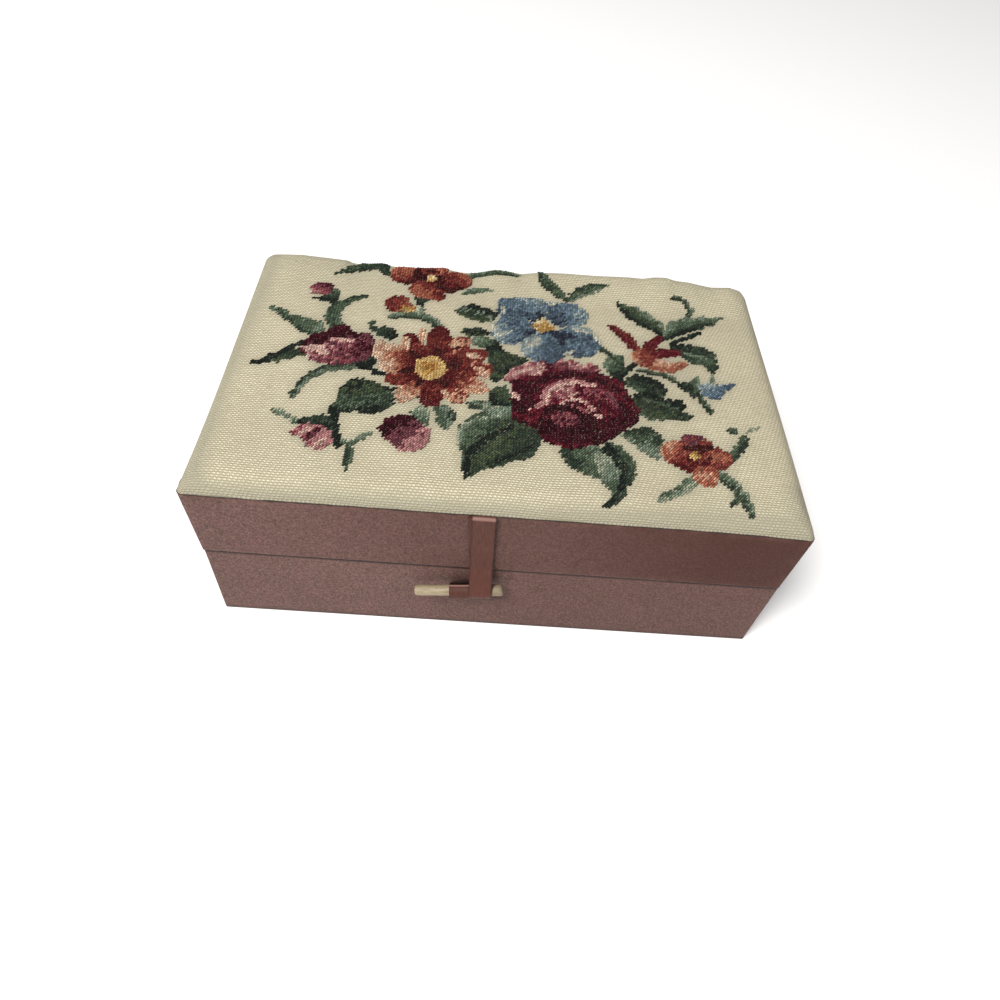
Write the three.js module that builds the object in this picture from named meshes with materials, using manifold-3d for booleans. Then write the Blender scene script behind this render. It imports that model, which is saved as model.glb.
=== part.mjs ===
// Embroidered jewelry box: a card box covered in silk, with a padded lid under needlework
// canvas, a cloth hinge along its back, and a strap with a bone peg at its front.
// Millimetres, +Z up. The origin is on the underside, below the middle of the lid.
import * as THREE from "three";
import { mergeVertices } from "three/addons/utils/BufferGeometryUtils.js";
import Module from "manifold-3d";

const wasm = await Module();
wasm.setup();

// Overall sizes
const lidWidth = 203;
const lidDepth = 125.4;
const seamHeight = 38.3; // top of the case's rim
const bandTop = 68.4; // where the lid's silk ends and its canvas begins
const padRise = 9.1; // height of the padded top above the band
const lidProud = 0.65; // how far the lid stands out past the case, on all sides but the back

// Stock and clearances
const boardThickness = 2.5;
const silkThickness = 0.45;
const canvasThickness = 1;
const glueLine = 0.1;
const restGap = 0.3; // between a piece and what it only rests on or slides in
const seamGap = 0.4; // between the case's rim and the closed lid
const silkCornerRadius = 0.8;
const cutOverrun = 5;

// Underside
const baseSheetThickness = 0.5;
const baseSheetInset = 2;

// Case
const caseTurnIn = 26; // how far the silk is turned down inside the rim
const caseLiningThickness = 3;
const caseLiningTop = 19; // the tray rests on the linings at this height
const floorPadThickness = 2.5;

// Lid
const lidTurnIn = 14;
const lidLiningThickness = 0.8;
const lidLiningRecess = 1.5; // from the lid's lower edge up to its linings
const ceilingLiningThickness = 1.5;

// Padded top
const padOverhang = 0.3;
const padTuck = 0.25;
const padSideHeight = 2.1; // up to where the canvas stands out most
const padShoulderInset = 9;
const padShoulderHeight = 5.7;
const padCornerRadius = 3;
const padCornerGrowthShare = 0.6; // of its distance from the edge, added to the corner radius
const padDomeInset = 44;

// Hinge along the back
const hingeClothThickness = 0.4;
const hingeClothSideInset = 3;
const hingeClothReach = 12; // above and below the seam, outside
const innerClothReach = 5; // above and below the seam, inside

// Mirror
const mirrorWidth = 118;
const mirrorDepth = 72;
const mirrorThickness = 2;
const mirrorFrameWidth = 11;
const mirrorLipWidth = 3;
const mirrorLipThickness = 0.7;

// Tray
const trayClearance = 1.6; // to the case's silk on each side
const trayTopDrop = 0.8; // below the rim
const trayWallThickness = 2;
const trayFloorThickness = 2;
const dividerThickness = 1.6;
const dividerDrop = 2; // below the tray's walls
const ringSectionWidth = 62;
const ringRollCount = 6;
const shortDividerShare = 0.45; // along the back compartments
const longDividerShare = 0.5; // across the tray
const pullWidth = 16;
const pullThickness = 0.8;
const pullRise = 1; // above the tray's walls

// Clasp
const strapWidth = 8.2;
const strapThickness = 0.55;
const strapTopX = -6.2; // the strap's middle where it leaves the canvas
const strapEndX = -3.8; // and at the peg
const pegTilt = THREE.MathUtils.degToRad(6.7);
const pegLength = 31.8;
const pegTipRadius = 2.05;
const pegButtRadius = 2.4;
const pegTipRounding = 0.9;
const pegButtBevel = 0.7;
const pegDrop = 8.6; // from the rim to the peg's axis, where the case's loop holds it
const loopX = -11.9; // the middle of the case's loop
const pegTipX = -28.2;
const loopWidth = 7.2;
const loopThickness = 0.5;
const strapLoopDrop = 1.9; // slack of the strap's loop below the peg
const roundSides = 20;
const bendSteps = 8;

// Materials
const finish = (color, roughness, metalness = 0) =>
  new THREE.MeshStandardMaterial({ color, roughness, metalness });
const materials = {
  silk: finish(0x745a56, 0.7),
  ribbon: finish(0x6c4742, 0.55),
  canvas: finish(0xbcb4a0, 0.95),
  bone: finish(0xc9bd98, 0.45),
  lining: finish(0xb98f8a, 0.65),
  board: finish(0xa39277, 0.9),
  paper: finish(0x6d5450, 0.9),
  wadding: finish(0xe6e3da, 1),
  mirror: finish(0xdfe6ea, 0.05, 1),
};

// Outlines in plan, as rectangles
const lidOutline = {
  left: -lidWidth / 2,
  right: lidWidth / 2,
  front: -lidDepth / 2,
  back: lidDepth / 2,
};
const caseOutline = {
  left: lidOutline.left + lidProud,
  right: lidOutline.right - lidProud,
  front: lidOutline.front + lidProud,
  back: lidOutline.back,
};

function inset(outline, distance) {
  return {
    left: outline.left + distance,
    right: outline.right - distance,
    front: outline.front + distance,
    back: outline.back - distance,
  };
}

const coverThickness = silkThickness + glueLine;
const wallThickness = boardThickness + 2 * coverThickness; // board, with silk on both faces
const caseBoards = inset(caseOutline, coverThickness);
const caseWell = inset(caseOutline, wallThickness);
const lidBoards = inset(lidOutline, coverThickness);
const lidWell = inset(lidOutline, wallThickness);

// A named mesh at its place
function piece(name, material, geometry) {
  const mesh = new THREE.Mesh(geometry, material);
  mesh.name = name;
  return mesh;
}

// A flat panel that fills an outline between two heights
function panel(name, material, outline, low, high) {
  const width = outline.right - outline.left;
  const depth = outline.back - outline.front;
  const mesh = piece(name, material, new THREE.BoxGeometry(width, depth, high - low));
  mesh.position.set(
    (outline.left + outline.right) / 2,
    (outline.front + outline.back) / 2,
    (low + high) / 2,
  );
  return mesh;
}

// Four upright panels just inside an outline. The front and back ones run its full width.
function walls(names, material, outline, thickness, low, high, backLow = low) {
  const between = inset(outline, thickness + glueLine);
  const { left, right, front, back } = outline;
  return [
    panel(names[0], material, { ...outline, back: front + thickness }, low, high),
    panel(names[1], material, { ...outline, front: back - thickness }, backLow, high),
    panel(names[2], material, { ...between, left, right: left + thickness }, low, high),
    panel(names[3], material, { ...between, right, left: right - thickness }, low, high),
  ];
}

// Closed meshes to solids for cutting and joining, and back
function toSolid(geometry) {
  const bare = geometry.clone();
  bare.deleteAttribute("normal");
  bare.deleteAttribute("uv");
  const merged = mergeVertices(bare);
  const mesh = new wasm.Mesh({
    numProp: 3,
    vertProperties: new Float32Array(merged.attributes.position.array),
    triVerts: new Uint32Array(merged.index.array),
  });
  mesh.merge();
  return new wasm.Manifold(mesh);
}

function toGeometry(solid) {
  const mesh = solid.getMesh();
  const geometry = new THREE.BufferGeometry();
  geometry.setAttribute("position", new THREE.BufferAttribute(mesh.vertProperties, mesh.numProp));
  geometry.setIndex(new THREE.BufferAttribute(mesh.triVerts, 1));
  return geometry;
}

// A shape in plan with round corners, from an outline
function roundedShape(outline, radius) {
  const { left, right, front, back } = outline;
  const quarter = Math.PI / 2;
  const shape = new THREE.Shape();
  shape.absarc(right - radius, back - radius, radius, 0, quarter);
  shape.absarc(left + radius, back - radius, radius, quarter, 2 * quarter);
  shape.absarc(left + radius, front + radius, radius, 2 * quarter, 3 * quarter);
  shape.absarc(right - radius, front + radius, radius, 3 * quarter, 4 * quarter);
  shape.closePath();
  return shape;
}

function sharpPath(outline, Kind) {
  const { left, right, front, back } = outline;
  return new Kind([
    new THREE.Vector2(left, front),
    new THREE.Vector2(right, front),
    new THREE.Vector2(right, back),
    new THREE.Vector2(left, back),
  ]);
}

// A shape made solid between two heights, and a wall around a rectangular hole
function upright(shape, low, high) {
  const options = { depth: high - low, bevelEnabled: false, curveSegments: bendSteps };
  return new THREE.ExtrudeGeometry(shape, options).translate(0, 0, low);
}

function ring(outer, hole, low, high) {
  outer.holes = [sharpPath(hole, THREE.Path)];
  return upright(outer, low, high);
}

// Silk that covers a box's walls outside, folds over one edge of them, and is turned in
function silkCover(name, outline, low, high, edge, turnIn) {
  const well = inset(outline, wallThickness);
  const turned = inset(well, -silkThickness);
  const wallSpace = sharpPath(inset(outline, silkThickness), THREE.Shape);
  const pastTurn = sharpPath(inset(outline, coverThickness), THREE.Shape);
  const farLow = low - cutOverrun;
  const farHigh = high + cutOverrun;
  const atTop = edge === "top";
  const wallSpan = atTop ? [farLow, high - silkThickness] : [low + silkThickness, farHigh];
  const pastSpan = atTop ? [farLow, high - turnIn] : [low + turnIn, farHigh];
  const block = toSolid(upright(roundedShape(outline, silkCornerRadius), low, high));
  const solid = block
    .subtract(toSolid(upright(sharpPath(well, THREE.Shape), farLow, farHigh)))
    .subtract(toSolid(ring(wallSpace, turned, ...wallSpan)))
    .subtract(toSolid(upright(pastTurn, ...pastSpan)));
  return piece(name, materials.silk, toGeometry(solid));
}

// The case
const baseBoardLow = baseSheetThickness + glueLine;
const baseBoardHigh = baseBoardLow + boardThickness;
const caseWallLow = baseBoardHigh + glueLine;
const caseWallHigh = seamHeight - coverThickness;
const caseLinings = inset(caseWell, glueLine);
const caseFloor = inset(caseLinings, caseLiningThickness + glueLine);

function makeCase() {
  const { board, paper, lining } = materials;
  const sheet = inset(caseOutline, baseSheetInset);
  const boardNames = ["case_front_board", "case_back_board", "case_left_board", "case_right_board"];
  const liningNames = [
    "case_front_lining",
    "case_back_lining",
    "case_left_lining",
    "case_right_lining",
  ];
  return [
    panel("base_sheet", paper, sheet, 0, baseSheetThickness),
    panel("base_board", board, caseBoards, baseBoardLow, baseBoardHigh),
    ...walls(boardNames, board, caseBoards, boardThickness, caseWallLow, caseWallHigh),
    silkCover("case_silk", caseOutline, glueLine, seamHeight, "top", caseTurnIn),
    ...walls(liningNames, lining, caseLinings, caseLiningThickness, caseWallLow, caseLiningTop),
    panel("case_floor_pad", lining, caseFloor, caseWallLow, caseWallLow + floorPadThickness),
  ];
}

// The lid's band, deck and linings
const lidLow = seamHeight + seamGap;
const lidWallLow = lidLow + coverThickness;
const deckHigh = bandTop - glueLine;
const deckLow = deckHigh - boardThickness;
const lidWallHigh = deckLow - glueLine;
const ceilingHigh = lidWallHigh;
const ceilingLow = ceilingHigh - ceilingLiningThickness;
const lidLinings = inset(lidWell, glueLine);
const lidLiningLow = lidLow + lidLiningRecess;
const innerClothHigh = lidLow + innerClothReach;

function makeLid() {
  const { board, lining } = materials;
  const boardNames = ["lid_front_board", "lid_back_board", "lid_left_board", "lid_right_board"];
  const liningNames = ["lid_front_lining", "lid_back_lining", "lid_left_lining", "lid_right_lining"];
  const liningHigh = ceilingLow - glueLine;
  const liningBackLow = innerClothHigh + glueLine;
  return [
    ...walls(boardNames, board, lidBoards, boardThickness, lidWallLow, lidWallHigh),
    panel("lid_deck_board", board, lidBoards, deckLow, deckHigh),
    silkCover("lid_silk", lidOutline, lidLow, deckHigh, "bottom", lidTurnIn),
    panel("lid_ceiling_lining", lining, lidLinings, ceilingLow, ceilingHigh),
    ...walls(
      liningNames,
      lining,
      lidLinings,
      lidLiningThickness,
      lidLiningLow,
      liningHigh,
      liningBackLow,
    ),
  ];
}

// The padded top is lofted through rounded outlines, from its lower edge up over its shoulder
// to the flat of its crown. Depth is how far a layer lies below the canvas's outer face.
const padLow = bandTop;
const padTop = bandTop + padRise;
const cornerSteps = 6;

function padProfile(depth, low) {
  const shoulderLow = padLow + padSideHeight;
  const shoulderTop = shoulderLow + padShoulderHeight;
  const profile = [[padTuck, low + depth]];
  for (let step = 0; step <= bendSteps; step += 1) {
    const angle = ((Math.PI / 2) * step) / bendSteps;
    const along = (padShoulderInset + padOverhang) * (1 - Math.cos(angle));
    profile.push([along - padOverhang, shoulderLow + padShoulderHeight * Math.sin(angle)]);
  }
  for (let step = 1; step <= bendSteps; step += 1) {
    const share = step / bendSteps;
    const height = shoulderTop + (padTop - shoulderTop) * share * (2 - share);
    profile.push([padShoulderInset + (padDomeInset - padShoulderInset) * share, height]);
  }
  return profile.map(([along, height]) => [along, height - depth]);
}

function roundedRow(outline, radius, height) {
  const row = [];
  const centres = [
    [outline.right - radius, outline.back - radius],
    [outline.left + radius, outline.back - radius],
    [outline.left + radius, outline.front + radius],
    [outline.right - radius, outline.front + radius],
  ];
  centres.forEach(([x, y], corner) => {
    for (let step = 0; step <= cornerSteps; step += 1) {
      const angle = (Math.PI / 2) * (corner + step / cornerSteps);
      row.push(x + radius * Math.cos(angle), y + radius * Math.sin(angle), height);
    }
  });
  return row;
}

// Rows of the same number of points, joined and capped
function loft(rows) {
  const count = rows[0].length / 3;
  const positions = new Float32Array(rows.flat());
  const faces = [];
  for (let row = 0; row + 1 < rows.length; row += 1) {
    for (let at = 0; at < count; at += 1) {
      const next = (at + 1) % count;
      const [a, b] = [row * count + at, row * count + next];
      const [c, d] = [b + count, a + count];
      faces.push(a, b, c, a, c, d);
    }
  }
  const last = (rows.length - 1) * count;
  for (let at = 1; at + 1 < count; at += 1) {
    faces.push(0, at + 1, at, last, last + at, last + at + 1);
  }
  const geometry = new THREE.BufferGeometry();
  geometry.setAttribute("position", new THREE.BufferAttribute(positions, 3));
  geometry.setIndex(faces);
  return geometry;
}

function padLayer(depth, low) {
  const rows = padProfile(depth, low).map(([along, height]) => {
    const radius = padCornerRadius + padCornerGrowthShare * Math.max(along, 0);
    return roundedRow(inset(lidOutline, along + depth), radius, height);
  });
  return loft(rows);
}

const padBoardLow = padLow + glueLine;
const padBoardHigh = padBoardLow + boardThickness;
const insideCanvas = canvasThickness + glueLine;

function makePad() {
  const { board, wadding, canvas } = materials;
  const boardOutline = inset(lidOutline, padTuck + insideCanvas);
  const boardShape = roundedShape(boardOutline, padCornerRadius);
  const padBoard = upright(boardShape, padBoardLow, padBoardHigh);
  const skin = toSolid(padLayer(0, padBoardLow));
  const hollow = toSolid(padLayer(canvasThickness, padBoardLow - cutOverrun));
  const under = inset(lidOutline, -cutOverrun);
  const trimHigh = padBoardHigh + glueLine;
  const trim = upright(sharpPath(under, THREE.Shape), padLow - cutOverrun, trimHigh);
  const filling = toSolid(padLayer(insideCanvas, padLow)).subtract(toSolid(trim));
  return [
    piece("pad_board", board, padBoard),
    piece("lid_wadding", wadding, toGeometry(filling)),
    piece("embroidered_canvas", canvas, toGeometry(skin.subtract(hollow))),
  ];
}

// The mirror lies on the lid's ceiling, held by the lip of its frame
function makeMirror() {
  const width = mirrorWidth / 2;
  const depth = mirrorDepth / 2;
  const glass = { left: -width, right: width, front: -depth, back: depth };
  const high = ceilingLow - glueLine;
  const low = high - mirrorThickness;
  const frameShape = () => sharpPath(inset(glass, -mirrorFrameWidth), THREE.Shape);
  const rim = ring(frameShape(), inset(glass, -restGap), low - restGap, high);
  const lipHigh = low - glueLine;
  const lip = ring(frameShape(), inset(glass, mirrorLipWidth), lipHigh - mirrorLipThickness, lipHigh);
  const frame = toSolid(rim).add(toSolid(lip));
  return [
    panel("lid_mirror", materials.mirror, glass, low, high),
    piece("mirror_frame", materials.lining, toGeometry(frame)),
  ];
}

// The hinge is cloth across the seam, one strip outside and one inside
const backFace = lidOutline.back;
const hingeY = backFace + glueLine + hingeClothThickness;

function makeHinge() {
  const outside = inset(caseOutline, hingeClothSideInset);
  const inside = inset(caseWell, hingeClothSideInset);
  const outer = { ...outside, front: hingeY - hingeClothThickness, back: hingeY };
  const innerBack = caseWell.back - glueLine;
  const inner = { ...inside, front: innerBack - hingeClothThickness, back: innerBack };
  const innerLow = seamHeight - innerClothReach;
  const middle = seamHeight + seamGap / 2;
  return [
    panel(
      "hinge_cloth_outer",
      materials.silk,
      outer,
      middle - hingeClothReach,
      middle + hingeClothReach,
    ),
    panel("hinge_cloth_inner", materials.lining, inner, innerLow, innerClothHigh),
  ];
}

// The tray, with ring rolls at its left and three compartments
const trayOutline = inset(caseWell, trayClearance);
const trayLow = caseLiningTop + restGap;
const trayHigh = seamHeight - trayTopDrop;
const trayInside = inset(trayOutline, trayWallThickness);
const trayFloorHigh = trayLow + trayFloorThickness;

function makeDividers() {
  const low = trayFloorHigh + glueLine;
  const high = trayHigh - dividerDrop;
  const inside = inset(trayInside, glueLine);
  const half = dividerThickness / 2;
  const crossX = trayInside.left + ringSectionWidth + half;
  const longY = inside.front + (inside.back - inside.front) * longDividerShare;
  const compartments = crossX + half + glueLine;
  const shortX = compartments + (inside.right - compartments) * shortDividerShare;
  const cross = { ...inside, left: crossX - half, right: crossX + half };
  const longRight = inside.right - pullThickness - glueLine; // the right pull lies behind its end
  const long = { left: compartments, right: longRight, front: longY - half, back: longY + half };
  const short = {
    left: shortX - half,
    right: shortX + half,
    front: long.back + glueLine,
    back: inside.back,
  };
  return [
    panel("tray_cross_divider", materials.lining, cross, low, high),
    panel("tray_long_divider", materials.lining, long, low, high),
    panel("tray_short_divider", materials.lining, short, low, high),
  ];
}

const rollPitch = ringSectionWidth / ringRollCount;
const rollRadius = (rollPitch - restGap) / 2;
const rollMiddle = trayFloorHigh + glueLine + rollRadius;

function makeRingRolls() {
  const length = trayInside.back - trayInside.front - 2 * restGap;
  const middle = (trayInside.back + trayInside.front) / 2;
  return Array.from({ length: ringRollCount }, (_, index) => {
    const roll = new THREE.CylinderGeometry(rollRadius, rollRadius, length, roundSides);
    const mesh = piece(`ring_roll_${index + 1}`, materials.lining, roll);
    mesh.position.set(trayInside.left + (index + 1 / 2) * rollPitch, middle, rollMiddle);
    return mesh;
  });
}

function makePulls() {
  const half = pullWidth / 2;
  const low = rollMiddle + rollRadius + glueLine;
  const high = trayHigh + pullRise;
  const { left, right } = trayInside;
  const middle = (trayInside.back + trayInside.front) / 2;
  const across = { front: middle - half, back: middle + half };
  const leftPull = { ...across, left: left + glueLine, right: left + glueLine + pullThickness };
  const rightPull = { ...across, right: right - glueLine, left: right - glueLine - pullThickness };
  return [
    panel("tray_pull_left", materials.ribbon, leftPull, low, high),
    panel("tray_pull_right", materials.ribbon, rightPull, low, high),
  ];
}

function makeTray() {
  const wallNames = ["tray_front_wall", "tray_back_wall", "tray_left_wall", "tray_right_wall"];
  const wallLow = trayFloorHigh + glueLine;
  return [
    panel("tray_floor", materials.lining, trayOutline, trayLow, trayFloorHigh),
    ...walls(wallNames, materials.lining, trayOutline, trayWallThickness, wallLow, trayHigh),
    ...makeDividers(),
    ...makeRingRolls(),
    ...makePulls(),
  ];
}

// The clasp's peg lies along a line that rises to the right
const strapBack = lidOutline.front - restGap;
const pegY = strapBack - strapThickness - restGap - pegButtRadius;
const rise = Math.tan(pegTilt);
const pegHeight = seamHeight - pegDrop;
const pegHeightAt = (x) => pegHeight + (x - loopX) * rise;

function makePeg() {
  const outline = [new THREE.Vector2(0, 0)];
  for (let step = 0; step <= bendSteps; step += 1) {
    const angle = ((Math.PI / 2) * step) / bendSteps;
    const radius = pegTipRadius - pegTipRounding * (1 - Math.sin(angle));
    outline.push(new THREE.Vector2(radius, pegTipRounding * (1 - Math.cos(angle))));
  }
  outline.push(new THREE.Vector2(pegButtRadius, pegLength - pegButtBevel));
  outline.push(new THREE.Vector2(pegButtRadius - pegButtBevel, pegLength));
  outline.push(new THREE.Vector2(0, pegLength));
  const peg = piece("bone_peg", materials.bone, new THREE.LatheGeometry(outline, roundSides));
  peg.rotation.z = -Math.PI / 2;
  const group = new THREE.Group();
  group.add(peg);
  group.rotation.y = -pegTilt;
  group.position.set(pegTipX, pegY, pegHeightAt(pegTipX));
  return group;
}

// An outline in the YZ plane, made as wide as a ribbon along X
function across(outline, width) {
  const options = { depth: width, bevelEnabled: false, curveSegments: bendSteps };
  const geometry = new THREE.ExtrudeGeometry(outline, options).translate(0, 0, -width / 2);
  return geometry.rotateX(Math.PI / 2).rotateZ(Math.PI / 2);
}

// The case's loop comes out of its front above the peg, and goes back in below it
function makePegLoop() {
  const innerRadius = pegButtRadius + restGap;
  const outerRadius = innerRadius + loopThickness;
  const reach = caseOutline.front - glueLine - pegY;
  const up = Math.PI / 2;
  const outline = new THREE.Shape();
  outline.moveTo(reach, outerRadius);
  outline.absarc(0, 0, outerRadius, up, 3 * up);
  outline.lineTo(reach, -outerRadius);
  outline.lineTo(reach, -innerRadius);
  outline.absarc(0, 0, innerRadius, 3 * up, up, true);
  outline.lineTo(reach, innerRadius);
  outline.closePath();
  const loop = piece("peg_loop", materials.ribbon, across(outline, loopWidth));
  const group = new THREE.Group();
  group.add(loop);
  group.rotation.y = -pegTilt;
  group.position.set(loopX, pegY, pegHeight);
  return group;
}

// The strap lies flat below the canvas, and parts into a loop around the peg
function makeStrap() {
  const top = bandTop - restGap;
  const pegMiddle = pegHeightAt(strapEndX);
  const radius = pegButtRadius + restGap;
  const bottom = pegMiddle - radius - strapLoopDrop;
  const innerBack = strapBack - strapThickness;
  const innerFront = innerBack - 2 * radius;
  const outerFront = innerFront - strapThickness;
  const flatFront = strapBack - 2 * strapThickness;
  const partHeight = pegMiddle + 3 * radius;
  const outer = new THREE.Shape();
  outer.moveTo(strapBack, top);
  outer.lineTo(strapBack, bottom);
  outer.quadraticCurveTo(strapBack, bottom - strapThickness, innerBack, bottom - strapThickness);
  outer.lineTo(innerFront, bottom - strapThickness);
  outer.quadraticCurveTo(outerFront, bottom - strapThickness, outerFront, bottom);
  outer.lineTo(outerFront, pegMiddle + radius);
  outer.quadraticCurveTo(outerFront, pegMiddle + 2 * radius, flatFront, partHeight);
  outer.lineTo(flatFront, top);
  outer.closePath();
  const hole = new THREE.Shape();
  hole.moveTo(innerBack, bottom);
  hole.lineTo(innerFront, bottom);
  hole.lineTo(innerFront, pegMiddle + radius);
  hole.quadraticCurveTo(
    innerFront,
    pegMiddle + 2 * radius - strapThickness,
    innerBack - glueLine,
    partHeight - strapThickness,
  );
  hole.lineTo(innerBack, partHeight - strapThickness);
  hole.closePath();
  const cutter = across(hole, strapWidth + cutOverrun);
  const geometry = toGeometry(toSolid(across(outer, strapWidth)).subtract(toSolid(cutter)));
  leanStrap(geometry, top, pegMiddle);
  return piece("clasp_strap", materials.ribbon, geometry);
}

// The strap drifts to the right on its way down, and its lower end turns with the peg
function leanStrap(geometry, top, pegMiddle) {
  const place = geometry.attributes.position;
  for (let at = 0; at < place.count; at += 1) {
    const x = place.getX(at);
    const z = place.getZ(at);
    const down = (top - z) / (top - pegMiddle);
    place.setX(at, x + strapTopX + (strapEndX - strapTopX) * down);
    place.setZ(at, z + x * rise * Math.max(0, down));
  }
}

const jewelryBox = new THREE.Group();
jewelryBox.add(
  ...makeCase(),
  makePegLoop(),
  ...makeHinge(),
  ...makeLid(),
  ...makePad(),
  ...makeMirror(),
  makeStrap(),
  makePeg(),
  ...makeTray(),
);

export default jewelryBox;
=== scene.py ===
# An embroidered jewelry box: a silk covered case and lid, a padded lid top under needlework
# canvas, and a ribbon clasp with a bone peg. Sizes in this script are in millimetres and are
# turned into metres when a mesh is made.
import math

import bpy
import numpy as np
from mathutils import Matrix, Vector, noise


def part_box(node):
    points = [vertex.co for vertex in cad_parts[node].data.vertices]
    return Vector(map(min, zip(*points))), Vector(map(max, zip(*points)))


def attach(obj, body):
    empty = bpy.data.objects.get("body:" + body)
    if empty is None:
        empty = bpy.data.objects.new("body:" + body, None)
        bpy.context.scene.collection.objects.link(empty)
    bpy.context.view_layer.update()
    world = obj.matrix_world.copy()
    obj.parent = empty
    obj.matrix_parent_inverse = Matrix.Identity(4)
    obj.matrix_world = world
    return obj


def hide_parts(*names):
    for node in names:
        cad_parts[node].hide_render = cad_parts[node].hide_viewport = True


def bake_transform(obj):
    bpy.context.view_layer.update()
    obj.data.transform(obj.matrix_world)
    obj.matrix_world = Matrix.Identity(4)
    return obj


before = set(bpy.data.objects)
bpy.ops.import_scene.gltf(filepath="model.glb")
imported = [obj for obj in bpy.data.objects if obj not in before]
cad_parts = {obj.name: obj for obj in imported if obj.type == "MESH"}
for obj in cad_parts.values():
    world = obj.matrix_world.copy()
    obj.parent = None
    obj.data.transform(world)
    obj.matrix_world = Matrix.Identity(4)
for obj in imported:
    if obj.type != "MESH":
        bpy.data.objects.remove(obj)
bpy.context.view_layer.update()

MM = 0.001


def node_box(name):
    """The lowest and highest corner of a node of the frame, in millimetres."""
    low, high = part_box(name)
    return np.array(low) / MM, np.array(high) / MM


# Colours, as the surfaces reflect light

SILK = (0.120, 0.062, 0.052)
RIBBON = (0.083, 0.032, 0.024)
LINING = (0.45, 0.27, 0.23)
VELVET = (0.24, 0.08, 0.08)
CREAM_LIGHT, CREAM_DARK = (0.68, 0.62, 0.468), (0.27, 0.24, 0.15)
BONE_LIGHT, BONE_DARK = (0.31, 0.25, 0.157), (0.19, 0.14, 0.082)
WHITE = (1.0, 1.0, 1.0, 1.0)

# The wools from dark to light, as red, green and blue up to 255. Each has a letter:
# A maroon, B burgundy, C crimson, D mulberry, E rose, F pink, G blush, H oxblood, I brick, J rust,
# K orange, L peach, M apricot, N navy, O slate, P blue, Q mist, R haze, a black green,
# b dark green, c moss, d green, e sage, f pale sage, g brown, h gold, i yellow, j straw
WOOLS = {
    "wool_reds": ((43, 11, 18), (60, 15, 26), (85, 21, 33), (93, 49, 57), (121, 64, 70))
    + ((156, 108, 107), (189, 154, 143)),
    "wool_rusts": ((56, 20, 20), (79, 25, 26), (107, 46, 40), (141, 81, 63), (170, 126, 102))
    + ((190, 160, 136),),
    "wool_blues": ((38, 42, 54), (64, 77, 89), (88, 105, 117), (126, 138, 138), (166, 166, 152)),
    "wool_greens": ((30, 36, 31), (48, 58, 47), (64, 74, 53), (74, 87, 69), (106, 118, 101))
    + ((142, 148, 126),),
    "wool_golds": ((130, 84, 42), (160, 122, 64), (178, 147, 95), (196, 176, 132)),
}
WOOL_LETTERS = "ABCDEFGHIJKLMNOPQRabcdefghij"
# How much of a wool's own brightness its stitches keep
WOOL_BRIGHTNESS = 0.81


def linear(channel):
    """A screen value up to 255 as the share of light that it stands for."""
    value = channel / 255
    return value / 12.92 if value <= 0.04045 else ((value + 0.055) / 1.055) ** 2.4


def scaled(colour, *factors):
    """A colour times one factor, or one for each channel."""
    return tuple(np.array(colour) * factors)


# Materials


class Surface:
    """A material in the making, with short calls that add its nodes."""

    def __init__(self, name, roughness, **values):
        self.material = bpy.data.materials.new(name)
        self.material.use_nodes = True
        self.tree = self.material.node_tree
        self.shader = self.tree.nodes["Principled BSDF"]
        for label, value in dict(values, Roughness=roughness).items():
            self.shader.inputs[label.replace("_", " ")].default_value = value
        self.place = self.add("TexCoord", {}, "Object")

    def add(self, kind, inputs, output=0, **settings):
        node = self.tree.nodes.new("ShaderNode" + kind)
        for label, value in settings.items():
            setattr(node, label, value)
        for label, value in inputs.items():
            self.feed(node.inputs[label], value)
        return node.outputs[output]

    def feed(self, socket, value):
        if isinstance(value, bpy.types.NodeSocket):
            self.tree.links.new(value, socket)
        else:
            socket.default_value = value

    def attribute(self, name, output="Fac"):
        return self.add("Attribute", {}, output, attribute_name=name)

    def stretch(self, vector, *scale):
        return self.add("Mapping", {"Vector": vector, "Scale": scale})

    def split(self, vector):
        return self.add("SeparateXYZ", {0: vector}, slice(0, 3))

    def noise(self, vector, scale, detail=2.0, roughness=0.5):
        inputs = {"Vector": vector, "Scale": scale, "Detail": detail, "Roughness": roughness}
        return self.add("TexNoise", inputs, "Fac")

    def maths(self, operation, first, second=0.0):
        return self.add("Math", {0: first, 1: second}, operation=operation)

    def times(self, first, second):
        return self.maths("MULTIPLY", first, second)

    def remap(self, value, low, high, to_low=0.0, to_high=1.0):
        inputs = {"From Min": low, "From Max": high, "To Min": to_low, "To Max": to_high}
        return self.add("MapRange", {"Value": value, **inputs}, "Result")

    def mix(self, factor, first, second):
        inputs = {"Factor": factor, 6: first, 7: second}
        for at in (6, 7):
            if not isinstance(inputs[at], bpy.types.NodeSocket):
                inputs[at] = (*inputs[at], 1.0)
        return self.add("Mix", inputs, 2, data_type="RGBA")

    def over(self, base, colour, field, *reach):
        """A colour laid over a base as far as a field reaches."""
        return self.mix(self.remap(field, *reach), base, colour)

    def shade(self, colour, field, *reach):
        """A colour made darker or lighter by a field."""
        inputs = {0: colour, "Scale": self.remap(field, *reach)}
        return self.add("VectorMath", inputs, operation="SCALE")

    def bump(self, height, distance, strength=1.0, normal=None):
        inputs = {"Height": height, "Distance": distance, "Strength": strength}
        if normal is not None:
            inputs["Normal"] = normal
        return self.add("Bump", inputs, "Normal")

    def finish(self, colour, normal=None, roughness=None):
        sockets = {"Base Color": colour, "Normal": normal, "Roughness": roughness}
        for label, value in sockets.items():
            if value is not None:
                self.feed(self.shader.inputs[label], value)
        return self.material


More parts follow.
